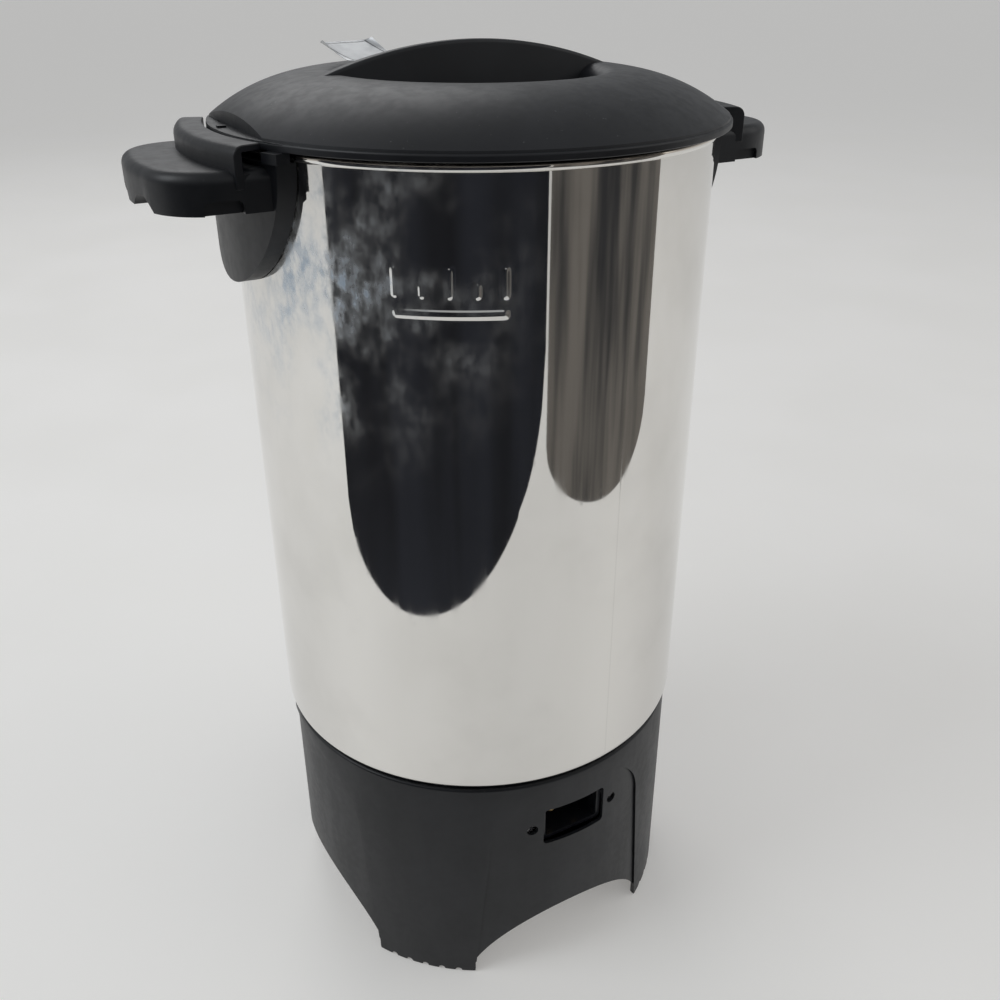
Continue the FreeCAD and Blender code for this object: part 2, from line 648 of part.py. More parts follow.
def thermal_fuse():
    x, y = FUSE_AT
    z = VESSEL_FLOOR_Z - HEATER_PLATE_T - FUSE_R - 0.3
    body = cyl_y(FUSE_R, y - FUSE_L / 2, y + FUSE_L / 2, x, z)
    leads = cyl_y(0.6, y - FUSE_L / 2 - 6, y - FUSE_L / 2, x, z)
    leads = leads.fuse(cyl_y(0.6, y + FUSE_L / 2, y + FUSE_L / 2 + 6, x, z))
    top = VESSEL_FLOOR_Z - HEATER_PLATE_T
    low = z - FUSE_R - 0.9
    clip = box(x - FUSE_R - 6, x + FUSE_R + 1.0, y - 2.5, y + 2.5, low, top)
    clip = clip.cut(box(x - FUSE_R - 0.2, x + FUSE_R + 0.2, y - 3, y + 3, low + 0.7, top + 1))
    clip = clip.cut(box(x - FUSE_R - 7, x - FUSE_R - 1.0, y - 3, y + 3, low - 1, top - 0.8))
    return body.fuse(leads).removeSplitter(), clip


def inlet():
    half_w = INLET_W / 2 - 0.2
    half_h = INLET_H / 2 - 0.2
    block = rounded_block(-half_w, half_w, INLET_Z - half_h, INLET_Z + half_h,
                          INLET_CORNER_R - 0.2, INLET_BACK_Y, INLET_FRONT_Y)
    flange = box(-INLET_FLANGE_HALF_W, INLET_FLANGE_HALF_W,
                 INLET_FLANGE_Y, INLET_FLANGE_Y + INLET_FLANGE_T,
                 INLET_Z - INLET_FLANGE_HALF_H, INLET_Z + INLET_FLANGE_HALF_H)
    block = block.fuse(flange)
    cavity = rounded_block(-half_w + INLET_WALL, half_w - INLET_WALL,
                           INLET_Z - half_h + INLET_WALL, INLET_Z + half_h - INLET_WALL,
                           1.0, INLET_FLOOR_Y, INLET_FRONT_Y + 1)
    block = block.cut(cavity)
    key = box(-1.2, 1.2, INLET_FLOOR_Y - 1, INLET_FRONT_Y - 6, INLET_Z + half_h - INLET_WALL - 2.0,
              INLET_Z + half_h - INLET_WALL + 0.5)
    block = block.fuse(key)
    pins = []
    screws = []
    for side in (-1, 1):
        x = side * INLET_PIN_X
        block = block.cut(cyl_y(INLET_PIN_R + 0.05, INLET_BACK_Y - 1, INLET_FLOOR_Y + 1, x, INLET_Z))
        pin = cyl_y(INLET_PIN_R, INLET_PIN_TAIL_Y, INLET_PIN_TIP_Y - INLET_PIN_R, x, INLET_Z)
        tip = Part.makeSphere(INLET_PIN_R, V(x, INLET_PIN_TIP_Y - INLET_PIN_R, INLET_Z))
        pins.append(pin.fuse(tip).removeSplitter())
        sx = side * INLET_SCREW_X
        block = block.cut(cyl_y(1.4, INLET_FLANGE_Y - 1, INLET_FLANGE_Y + 5, sx, INLET_Z))
        seat = INLET_SCREW_SEAT_Y + 0.05
        head = cyl_y(2.3, seat, seat + 1.6, sx, INLET_Z)
        shank = cyl_y(1.35, seat - 10.0, seat, sx, INLET_Z)
        cross = box(sx - 1.6, sx + 1.6, seat + 0.9, seat + 3, INLET_Z - 0.35, INLET_Z + 0.35)
        cross = cross.fuse(box(sx - 0.35, sx + 0.35, seat + 0.9, seat + 3, INLET_Z - 1.6, INLET_Z + 1.6))
        screws.append(head.fuse(shank).cut(cross).removeSplitter())
    return block.removeSplitter(), group(pins), group(screws)


def indicator():
    inner = BASE_R - BASE_WALL
    head = Part.makeSphere(9.0, V(0, -BASE_R + PANEL_RECESS + 7.2, LAMP_Z))
    head = head.common(cyl_y(LENS_HEAD_R, -BASE_R - 4, -BASE_R + PANEL_RECESS - 0.2, 0, LAMP_Z))
    body = cyl_y(LAMP_HOLE_R - 0.1, -BASE_R + PANEL_RECESS - 0.4, -inner + 7, 0, LAMP_Z)
    lens = head.fuse(body)
    lens = lens.cut(cyl_y(3.4, -BASE_R + 2.4, -inner + 8, 0, LAMP_Z))
    lamp = cyl_y(3.2, -BASE_R + 4.0, -inner + 18, 0, LAMP_Z)
    return lens.removeSplitter(), lamp


def wiring():
    """Sleeved wires, each ending a small gap short of the pin or tab it serves."""
    left_x, left_y = gap_ends(ELEMENT_RING_R, ELEMENT_GAP_DEG, 90)[1]
    right_x, right_y = gap_ends(ELEMENT_RING_R, ELEMENT_GAP_DEG, 90)[0]
    warm_left_x, warm_left_y = gap_ends(KEEP_RING_R, KEEP_GAP_DEG, 90)[1]
    warm_right_x, warm_right_y = gap_ends(KEEP_RING_R, KEEP_GAP_DEG, 90)[0]
    pin_z = ELEMENT_PIN_Z - WIRE_GAP
    warm_z = KEEP_LEG_Z - 8.0 - WIRE_GAP
    tail = INLET_PIN_TAIL_Y - WIRE_GAP
    lamp_y = -BASE_R + BASE_WALL + 18.0 + WIRE_GAP
    fuse_x, fuse_y = FUSE_AT
    tab_x, tab_y = THERMOSTAT_AT
    tab_z = VESSEL_FLOOR_Z - HEATER_PLATE_T - 19.0 - WIRE_GAP
    hole_z = SHIELD_FLOOR_Z
    pin = INLET_PIN_X
    z = INLET_Z
    runs = [
        [(-pin, tail, z), (-pin - 0.6, tail - 5, z), (left_x, left_y + 4, pin_z - 9),
         (left_x, left_y, pin_z - 5), (left_x, left_y, pin_z)],
        [(pin, tail, z), (pin + 0.6, tail - 5, z), (30, 32, 70), (fuse_x, fuse_y + 3, hole_z - 12),
         (fuse_x, fuse_y + 3, hole_z - 5), (fuse_x, fuse_y + 3, hole_z + 2)],
        [(fuse_x, fuse_y - 3, hole_z + 2), (fuse_x, fuse_y - 3, hole_z - 5), (40, -22, 74),
         (tab_x + 9, tab_y + 2, tab_z - 12), (tab_x + 4.8, tab_y, tab_z - 5), (tab_x + 4.8, tab_y, tab_z)],
        [(tab_x - 4.8, tab_y, tab_z), (tab_x - 4.8, tab_y, tab_z - 5), (-26, -34, 70), (-32, 2, 64),
         (-8, 16, 60), (right_x, right_y - 3, pin_z - 12), (right_x, right_y, pin_z - 5),
         (right_x, right_y, pin_z)],
        [(warm_left_x, warm_left_y, warm_z), (warm_left_x, warm_left_y, warm_z - 5), (-34, -6, 68),
         (-12, -46, 64), (-2.0, lamp_y + 8, LAMP_Z), (-1.6, lamp_y, LAMP_Z)],
        [(warm_right_x, warm_right_y, warm_z), (warm_right_x, warm_right_y, warm_z - 5), (34, -6, 58),
         (14, -50, 60), (2.0, lamp_y + 8, LAMP_Z), (1.6, lamp_y, LAMP_Z)],
    ]
    return group([pipe_along(run, WIRE_R) for run in runs])


def handle():
    plate = tube(SHIELD_PLATE_OUT_R, SHIELD_PLATE_IN_R, SHIELD_TOP_Z - 60, SHIELD_TOP_Z)
    tongue = arch_prism(SHIELD_TONGUE_HALF_W, 0.0, SHIELD_TONGUE_DROP, -0.5, VESSEL_R / 2, VESSEL_R + 20)
    tongue.rotate(V(0, 0, 0), V(1, 0, 0), TURN_180)
    tongue.translate(V(0, 0, SHIELD_TOP_Z))
    plate = plate.common(tongue)
    corner = GRIP_CORNER_R
    reach = GRIP_REACH
    half = GRIP_HALF_W
    back = VESSEL_R - 4.0
    inner = half - corner
    crown_r = (inner ** 2 + GRIP_BULGE ** 2) / (2 * GRIP_BULGE)
    lean = math.asin(inner / crown_r)
    middle = (math.pi / 2 + lean) / 2
    low = GRIP_LOW_Z
    a = V(back, -half, low)
    b = V(reach - corner, -half, low)
    b_mid = V(reach - corner + corner * math.cos(middle), -inner - corner * math.sin(middle), low)
    c = V(reach - corner + corner * math.cos(lean), -inner - corner * math.sin(lean), low)
    c_bulge = V(reach + GRIP_BULGE, 0, low)
    d = V(c.x, -c.y, low)
    d_mid = V(b_mid.x, -b_mid.y, low)
    e = V(reach - corner, half, low)
    f = V(back, half, low)
    outline = Part.Wire([
        line(a, b),
        arc_through(b, b_mid, c),
        arc_through(c, c_bulge, d),
        arc_through(d, d_mid, e),
        line(e, f),
        line(f, a),
    ])
    grip = Part.Face(outline).extrude(V(0, 0, GRIP_TOP_Z - low))
    top_edges = []
    low_edges = []
    for edge in grip.Edges:
        ends = edge.BoundBox
        if ends.XMax - ends.XMin < 0.01 and ends.XMax < back + 1:
            continue
        if ends.ZMin > GRIP_TOP_Z - 0.01:
            top_edges.append(edge)
        if ends.ZMax < low + 0.01:
            low_edges.append(edge)
    grip = grip.makeFillet(GRIP_EDGE_R, top_edges)
    pocket = box(GRIP_ROOT_X, reach - GRIP_WALL, -half + GRIP_WALL, half - GRIP_WALL,
                 low - 5, GRIP_TOP_Z - GRIP_ROOF)
    upright = [g for g in pocket.Edges if g.BoundBox.ZMax - g.BoundBox.ZMin > 1
               and g.BoundBox.XMin > GRIP_ROOT_X + 1]
    pocket = pocket.makeFillet(POCKET_CORNER_R, upright)
    grip = grip.cut(pocket)
    for side in (-GROOVE_Y, GROOVE_Y):
        grip = grip.cut(cyl_x(GROOVE_R, reach - GRIP_WALL - 4, reach + 4, side, GROOVE_TOP_Z - GROOVE_R))
    for side in (-1, 1):
        near = side * (half - 3.0)
        far = side * (half + 2)
        cut = box(SHIELD_PLATE_OUT_R + 2, reach - SIDE_CUT_END, min(near, far), max(near, far),
                  low - 2, SIDE_CUT_TOP_Z)
        ends = [g for g in cut.Edges if g.BoundBox.YMax - g.BoundBox.YMin > 1
                and g.BoundBox.ZMin > SIDE_CUT_TOP_Z - 0.01]
        grip = grip.cut(cut.makeFillet(2.2, ends))
    collar = sector(COLLAR_IN_R, COLLAR_OUT_R, -COLLAR_HALF_DEG, COLLAR_HALF_DEG,
                    GRIP_TOP_Z - 6, COLLAR_TOP_Z)
    crown = [g for g in collar.Edges if g.BoundBox.ZMin > COLLAR_TOP_Z - 0.01]
    corners = [g for g in collar.Edges if g.BoundBox.ZMax - g.BoundBox.ZMin > 5
               and g.BoundBox.XMax > COLLAR_OUT_R * math.cos(math.radians(COLLAR_HALF_DEG)) - 0.01]
    outer = [g for g in crown if g.BoundBox.XMax > COLLAR_OUT_R - 0.01]
    collar = collar.makeFillet(COLLAR_SHOULDER_R, outer)
    whole = plate.fuse(grip).fuse(collar)
    whole = whole.cut(cyl(SHIELD_PLATE_IN_R, SHIELD_TOP_Z - 80, COLLAR_TOP_Z + 20))
    slot = sector(SHIELD_PLATE_IN_R - 1, LOCK_SLOT_OUT_R, LOCK_SLOT_END_DEG, 30,
                  LOCK_SLOT_LOW_Z, LOCK_SLOT_TOP_Z)
    whole = whole.cut(slot)
    whole = whole.cut(sector(SHIELD_PLATE_IN_R - 1, COLLAR_IN_R, -30, 30, SHIELD_TOP_Z, COLLAR_TOP_Z + 1))
    for side in (-HANDLE_SCREW_Y, HANDLE_SCREW_Y):
        whole = whole.cut(cyl_x(HANDLE_SCREW_R + 0.05, VESSEL_R - 12, SCREW_TIP_X + 1, side, HANDLE_SCREW_Z))
    return whole.removeSplitter()


def wall_screw(y, z):
    """A pan-head screw from inside the vessel along +X, and its seal against the curved wall."""
    seat = VESSEL_R - VESSEL_WALL - 3.4
    head = cyl_x(HANDLE_SCREW_HEAD_R, seat - 2.4, seat, y, z)
    shank = cyl_x(HANDLE_SCREW_R, seat, SCREW_TIP_X, y, z)
    slot = box(seat - 3, seat - 1.5, y - 5, y + 5, z - 0.5, z + 0.5)
    screw = head.fuse(shank).cut(slot).removeSplitter()
    seal = cyl_x(HANDLE_SCREW_HEAD_R + 1.4, seat, VESSEL_R, y, z)
    seal = seal.cut(cyl_x(HANDLE_SCREW_R + 0.1, seat - 1, VESSEL_R + 1, y, z))
    seal = seal.common(cyl(VESSEL_R - VESSEL_WALL - 0.05, z - 20, z + 20))
    return screw, seal


def handle_fixings():
    screws = []
    seals = []
    for y in (-HANDLE_SCREW_Y, HANDLE_SCREW_Y):
        screw, seal = wall_screw(y, HANDLE_SCREW_Z)
        for angle in (0, TURN_180):
            screws.append(turned(screw, angle))
            seals.append(turned(seal, angle))
    return group(screws), group(seals)


def lid_outer(raise_by=0.0):
    """The lid's outer body of revolution, filled to the axis."""
    radius = LID_DOME_R + raise_by
    centre_r = LID_CREST_R
    centre_z = LID_CREST_Z - LID_DOME_R
    edge_r = LID_EDGE_R
    start = math.acos((edge_r - centre_r) / radius)
    middle = (start + math.pi / 2) / 2
    crest = V(centre_r, 0, centre_z + radius)
    dome_low = V(edge_r, 0, centre_z + radius * math.sin(start))
    dome_mid = V(centre_r + radius * math.cos(middle), 0, centre_z + radius * math.sin(middle))
    low = V(0, 0, LID_UNDER_Z)
    rim_low = V(LID_R, 0, LID_UNDER_Z)
    rim_top = V(LID_R, 0, LID_FLANGE_TOP_Z + raise_by)
    top = V(0, 0, crest.z)
    return spun([
        line(low, rim_low),
        line(rim_low, rim_top),
        line(rim_top, dome_low),
        arc_through(dome_low, dome_mid, crest),
        line(crest, top),
        line(top, low),
    ])


def well_edges(inset):
    """The well's outline from the lid's crest to the axis, moved into the plastic by inset."""
    roll = WELL_ROLL_R - inset
    bowl = WELL_BOWL_R + inset
    slope = math.radians(WELL_SLOPE_DEG)
    roll_z = LID_CREST_Z - WELL_ROLL_R
    bowl_z = LID_WELL_FLOOR_Z + WELL_BOWL_R
    run = WELL_ROLL_R + WELL_BOWL_R - math.cos(slope) * (bowl_z - roll_z)
    bowl_r = LID_CREST_R - run / math.sin(slope)
    crest = V(LID_CREST_R, 0, LID_CREST_Z - inset)
    roll_mid = V(LID_CREST_R - roll * math.sin(slope / 2), 0, roll_z + roll * math.cos(slope / 2))
    roll_end = V(LID_CREST_R - roll * math.sin(slope), 0, roll_z + roll * math.cos(slope))
    bowl_start = V(bowl_r + bowl * math.sin(slope), 0, bowl_z - bowl * math.cos(slope))
    bowl_mid = V(bowl_r + bowl * math.sin(slope / 2), 0, bowl_z - bowl * math.cos(slope / 2))
    bowl_end = V(bowl_r, 0, bowl_z - bowl)
    centre = V(0, 0, bowl_z - bowl)
    edges = [
        arc_through(crest, roll_mid, roll_end),
        line(roll_end, bowl_start),
        arc_through(bowl_start, bowl_mid, bowl_end),
        line(bowl_end, centre),
    ]
    return edges, crest, centre


def lid_inner():
    """The hollow under the lid."""
    radius = LID_DOME_R - LID_WALL
    centre_z = LID_CREST_Z - LID_DOME_R
    edge_r = LID_R - 3.4
    start = math.acos((edge_r - LID_CREST_R) / radius)
    middle = (start + math.pi / 2) / 2
    low = V(0, 0, LID_UNDER_Z - 12)
    side_low = V(edge_r, 0, LID_UNDER_Z - 12)
    side_top = V(edge_r, 0, centre_z + radius * math.sin(start))
    mid = V(LID_CREST_R + radius * math.cos(middle), 0, centre_z + radius * math.sin(middle))
    edges, crest, centre = well_edges(LID_WALL)
    return spun([
        line(low, side_low),
        line(side_low, side_top),
        arc_through(side_top, mid, crest),
    ] + edges + [
        line(centre, low),
    ])


def finger_well():
    """The round bowl in the lid's top, which the blade later divides into two finger wells."""
    edges, crest, centre = well_edges(0.0)
    over = V(0, 0, BLADE_TOP_Z + 10)
    over_crest = V(crest.x, 0, BLADE_TOP_Z + 10)
    return spun([
        line(over, over_crest),
        line(over_crest, crest),
    ] + edges + [
        line(centre, over),
    ])


def blade():
    """The arched rib across the lid that the hand turns it by. It is thinner at its crown."""
    half = BLADE_HALF_L
    spring_z = LID_CREST_Z - 0.6
    low_z = LID_WELL_FLOOR_Z - 1
    start = V(-half, -BLADE_FOOT_T / 2, spring_z)
    crown = V(0, -BLADE_FOOT_T / 2, BLADE_TOP_Z)
    end = V(half, -BLADE_FOOT_T / 2, spring_z)
    low_right = V(half - 18, -BLADE_FOOT_T / 2, low_z)
    low_left = V(-half + 18, -BLADE_FOOT_T / 2, low_z)
    outline = Part.Wire([
        arc_through(start, crown, end),
        line(end, low_right),
        line(low_right, low_left),
        line(low_left, start),
    ])
    rib = Part.Face(outline).extrude(V(0, BLADE_FOOT_T, 0))
    section = [
        V(-half - 5, -BLADE_FOOT_T / 2, low_z),
        V(-half - 5, BLADE_FOOT_T / 2, low_z),
        V(-half - 5, BLADE_CROWN_T / 2, BLADE_TOP_Z + 1),
        V(-half - 5, -BLADE_CROWN_T / 2, BLADE_TOP_Z + 1),
    ]
    wedge = Part.Face(Part.makePolygon(section + [section[0]])).extrude(V(2 * half + 10, 0, 0))
    rib = rib.common(wedge)
    crown_edges = [g for g in rib.Edges if g.BoundBox.ZMax > BLADE_TOP_Z - 0.5
                   and g.BoundBox.XMax - g.BoundBox.XMin > half]
    return rib.makeFillet(1.6, crown_edges)


def lid():
    body = lid_outer()
    hollow = lid_inner()
    body = body.cut(finger_well())
    body = body.cut(hollow)
    body = body.fuse(blade().cut(hollow))
    over = BLADE_TOP_Z + 10
    far = LID_R + 20
    for side in (0, TURN_180):
        trim = box(LID_FLAT_X, far, -60, 60, LID_FLANGE_TOP_Z, over)
        body = body.cut(turned(trim, side))
        floor = sector(LID_FLAT_X - 3.5, LID_R - 0.5, -24, 24, LID_UNDER_Z, LID_FLANGE_TOP_Z)
        wall = box(LID_FLAT_X - LID_WALL, LID_FLAT_X, -38, 38, LID_UNDER_Z, LID_CREST_Z)
        inside = lid_outer()
        body = body.fuse(turned(floor, side))
        body = body.fuse(turned(wall, side).common(inside))
        mark = box(LID_FLAT_X + 2.0, LID_R - 1.4, -3.6, -1.8, LID_FLANGE_TOP_Z - 0.2, LID_FLANGE_TOP_Z + 0.7)
        body = body.fuse(turned(mark, side))
        lug = sector(LUG_IN_R, LUG_OUT_R, LUG_FROM_DEG, LUG_TO_DEG, LUG_LOW_Z, LUG_TOP_Z)
        root = sector(LUG_IN_R, LID_R, LUG_FROM_DEG, LUG_TO_DEG, LUG_TOP_Z - 1, LID_FLANGE_TOP_Z - 0.2)
        body = body.fuse(turned(lug.fuse(root), side))
    spigot = tube(SPIGOT_OUT_R, SPIGOT_OUT_R - SPIGOT_T, SPIGOT_LOW_Z, LID_CREST_Z)
    spigot = spigot.common(lid_outer().fuse(cyl(LID_R, SPIGOT_LOW_Z - 1, LID_UNDER_Z)))
    spigot = spigot.cut(box(LID_FLAT_X, far, -60, 60, LID_FLANGE_TOP_Z, over))
    spigot = spigot.cut(box(-far, -LID_FLAT_X, -60, 60, LID_FLANGE_TOP_Z, over))
    body = body.fuse(spigot)
    return body.removeSplitter()


def lid_sticker():
    skin = lid_outer(STICKER_T + 0.02).cut(lid_outer(0.02))
    patch = box(STICKER_FROM_X, STICKER_TO_X, STICKER_FROM_Y, STICKER_TO_Y,
                LID_FLANGE_TOP_Z + 0.5, BLADE_TOP_Z)
    return skin.common(patch)


def brew_set():
    stem = tube(STEM_R, STEM_BORE_R, STEM_LOW_Z, STEM_TOP_Z)
    collar = cone(STEM_R + 0.2, 8.0, BASKET_LOW_Z - 5.0, BASKET_LOW_Z - 1.6)
    collar = collar.fuse(cyl(8.0, BASKET_LOW_Z - 1.6, BASKET_LOW_Z - 0.1))
    collar = collar.cut(cyl(STEM_BORE_R, BASKET_LOW_Z - 10, BASKET_LOW_Z + 5))
    stem = stem.fuse(collar).removeSplitter()
    neck = STEM_R + STEM_PLAY / 2
    foot = spun_points([
        (FOOT_R, FOOT_Z),
        (FOOT_R, FOOT_Z + 2.0),
        (10.0, FOOT_Z + 9.0),
        (neck + FOOT_T, FOOT_Z + 13.0),
        (neck + FOOT_T, FOOT_NECK_Z + 2),
        (neck, FOOT_NECK_Z + 2),
        (neck, STEM_LOW_Z - 0.1),
        (STEM_BORE_R, STEM_LOW_Z - 0.1),
        (STEM_BORE_R, FOOT_Z + 12.0),
        (9.6, FOOT_Z + 7.8),
        (FOOT_R - FOOT_T, FOOT_Z + 1.6),
        (FOOT_R - FOOT_T, FOOT_Z),
    ])
    for step in range(4):
        notch = box(10, FOOT_R + 2, -2.5, 2.5, FOOT_Z - 1, FOOT_Z + 1.2)
        foot = foot.cut(turned(notch, 45.0 + 90.0 * step))
    valve = tube(VALVE_R, 1.0, FOOT_Z + 1.0, FOOT_Z + 1.0 + VALVE_T)
    return stem, foot, valve


def ring_of_holes(radius, count, low, high):
    holes = []
    for step in range(count):
        angle = 2 * math.pi * step / count
        holes.append(cyl(DRAIN_HOLE_R, low, high, radius * math.cos(angle), radius * math.sin(angle)))
    return holes


def basket():
    t = BASKET_T
    body = spun_points([
        (BASKET_SLEEVE_R, BASKET_LOW_Z),
        (BASKET_R - 2, BASKET_LOW_Z),
        (BASKET_R, BASKET_LOW_Z + 2),
        (BASKET_R, BASKET_TOP_Z),
        (BASKET_R - t, BASKET_TOP_Z),
        (BASKET_R - t, BASKET_LOW_Z + 2.4),
        (BASKET_R - 2.4, BASKET_LOW_Z + t),
        (BASKET_SLEEVE_R + t, BASKET_LOW_Z + t),
        (BASKET_SLEEVE_R + t, BASKET_TOP_Z - 3),
        (BASKET_SLEEVE_R, BASKET_TOP_Z - 3),
    ])
    rim = Part.makeTorus(BASKET_R, 1.0, V(0, 0, BASKET_TOP_Z - 1.0))
    body = body.fuse(rim)
    holes = []
    for radius, count in ((14, 10), (24, 16), (34, 22), (44, 28), (54, 34), (64, 40)):
        holes += ring_of_holes(radius, count, BASKET_LOW_Z - 1, BASKET_LOW_Z + 2)
    return body.cut(Part.makeCompound(holes))


def basket_cover():
    t = COVER_T
    low = BASKET_TOP_Z + COVER_GAP
    hole = STEM_R + STEM_PLAY * 4
    body = spun_points([
        (hole, low + 1.5),
        (12.0, low + 1.5),
        (16.0, low),
        (BASKET_R + 1.6, low),
        (COVER_R + 1.6, low + 2.5),
        (COVER_R + 1.0, low + 3.2),
        (BASKET_R + 0.6, low + t),
        (16.6, low + t),
        (12.6, low + 1.5 + t),
        (hole + t, low + 1.5 + t),
        (hole + t, low + 5.0),
        (hole, low + 5.0),
    ])
    holes = []
    for radius, count in ((22, 12), (34, 18), (46, 26), (58, 32), (70, 38)):
        holes += ring_of_holes(radius, count, low - 1, low + 3)
    return body.cut(Part.makeCompound(holes))


def tap_body():
    flange_front = TAP_FLANGE_Y - TAP_FLANGE_T
    body = cyl(TAP_BODY_R, TAP_BODY_LOW_Z, TAP_BODY_TOP_Z, 0, TAP_Y)
    body = body.fuse(cone(TAP_SPOUT_R, TAP_BODY_R, TAP_BODY_LOW_Z - 6, TAP_BODY_LOW_Z, 0, TAP_Y))
    body = body.fuse(cone(TAP_SPOUT_R - 1.0, TAP_SPOUT_R, TAP_SPOUT_LOW_Z, TAP_BODY_LOW_Z - 6, 0, TAP_Y))
    body = body.fuse(cyl_y(TAP_BARREL_R, TAP_Y, flange_front + 0.5, 0, TAP_Z))
    body = body.fuse(cyl_y(TAP_FLANGE_R, flange_front, TAP_FLANGE_Y, 0, TAP_Z))
    body = body.fuse(cyl_y(TAP_SHANK_R, TAP_FLANGE_Y - 1, TAP_SHANK_END_Y, 0, TAP_Z))
    body = body.fuse(cyl(GAUGE_SOCKET_R, TAP_Z, GAUGE_SOCKET_TOP_Z, 0, GAUGE_Y))
    body = body.cut(cyl(TAP_CHAMBER_R, TAP_SEAT_Z, TAP_BODY_TOP_Z + 1, 0, TAP_Y))
    body = body.cut(cyl(TAP_SEAT_BORE_R, TAP_SEAT_Z - 8, TAP_SEAT_Z + 1, 0, TAP_Y))
    body = body.cut(cyl(TAP_SPOUT_BORE_R, TAP_SPOUT_LOW_Z - 1, TAP_SEAT_Z - 4, 0, TAP_Y))
    body = body.cut(cyl_y(TAP_BORE_R, TAP_Y + 2, TAP_SHANK_END_Y + 1, 0, TAP_Z))
    body = body.cut(cyl(GAUGE_BORE_R, GAUGE_LOW_Z - 0.2, GAUGE_SOCKET_TOP_Z + 1, 0, GAUGE_Y))
    body = body.cut(cyl(2.5, TAP_Z, GAUGE_LOW_Z + 1, 0, GAUGE_Y))
    return body.removeSplitter()


def tap_fixings():
    wall_out = VESSEL_R + 0.05
    wall_in = VESSEL_R - VESSEL_WALL - 0.05
    outer = cyl_y(TAP_FLANGE_R - 0.5, TAP_FLANGE_Y, -VESSEL_R + 6, 0, TAP_Z)
    outer = outer.cut(cyl_y(TAP_SHANK_R + 0.1, TAP_FLANGE_Y - 1, -VESSEL_R + 8, 0, TAP_Z))
    outer = outer.cut(cyl(wall_out, TAP_Z - 30, TAP_Z + 30))
    seat = -wall_in + 4.2
    inner = cyl_y(12.6, -VESSEL_R - 1, seat, 0, TAP_Z)
    inner = inner.cut(cyl_y(TAP_SHANK_R + 0.1, -VESSEL_R - 2, seat + 1, 0, TAP_Z))
    inner = inner.common(cyl(wall_in, TAP_Z - 30, TAP_Z + 30))
    nut = hexagon(23.0, 0, 7.0)
    nut = nut.cut(cyl(TAP_SHANK_R + 0.05, -1, 8))
    nut.rotate(V(0, 0, 0), V(1, 0, 0), -90)
    nut.translate(V(0, seat, TAP_Z))
    return outer, inner, nut


def tap_bonnet():
    cap = cyl(BONNET_R, BONNET_LOW_Z, BONNET_TOP_Z - 1.2, 0, TAP_Y)
    cap = cap.fuse(cone(BONNET_R, BONNET_R - 1.2, BONNET_TOP_Z - 1.2, BONNET_TOP_Z, 0, TAP_Y))
    for step in range(16):
        angle = 2 * math.pi * step / 16
        x = (BONNET_R + 0.6) * math.cos(angle)
        y = TAP_Y + (BONNET_R + 0.6) * math.sin(angle)
        cap = cap.cut(cyl(1.2, BONNET_LOW_Z - 1, BONNET_TOP_Z - 2.5, x, y))
    cap = cap.cut(cyl(TAP_BODY_R + BONNET_PLAY, BONNET_LOW_Z - 1, TAP_BODY_TOP_Z + 0.05, 0, TAP_Y))
    cap = cap.cut(cyl(VALVE_STEM_R + VALVE_STEM_PLAY, BONNET_LOW_Z, BONNET_TOP_Z + 1, 0, TAP_Y))
    return cap.removeSplitter()


def tap_stem():
    stem = cyl(VALVE_STEM_R, TAP_SEAT_Z + 3.0, VALVE_STEM_TOP_Z, 0, TAP_Y)
    stem = stem.fuse(cyl(STEM_FLANGE_R, STEM_FLANGE_Z, STEM_FLANGE_Z + STEM_FLANGE_T, 0, TAP_Y))
    stem = stem.cut(cyl_x(LEVER_PIN_R + 0.03, -10, 10, TAP_Y, LEVER_PIVOT_Z))
    cup = cyl(STEM_FLANGE_R, TAP_SEAT_Z + 0.1, STEM_FLANGE_Z - 0.05, 0, TAP_Y)
    cup = cup.cut(cyl(VALVE_STEM_R + 0.05, TAP_SEAT_Z + 2.9, STEM_FLANGE_Z + 1, 0, TAP_Y))
    pin = cyl_x(LEVER_PIN_R, -LEVER_HALF_W - 0.6, LEVER_HALF_W + 0.6, TAP_Y, LEVER_PIVOT_Z)
    return stem.removeSplitter(), cup, pin


def tap_spring():
    low = STEM_FLANGE_Z + STEM_FLANGE_T + SPRING_WIRE_R + 0.1
    high = TAP_BODY_TOP_Z - SPRING_WIRE_R - 0.1
    steps = int(SPRING_TURNS * 12)
    points = []
    for step in range(steps + 1):
        angle = 2 * math.pi * SPRING_TURNS * step / steps
        points.append((SPRING_R * math.cos(angle), TAP_Y + SPRING_R * math.sin(angle),
                       low + (high - low) * step / steps))
    return pipe_along(points, SPRING_WIRE_R)


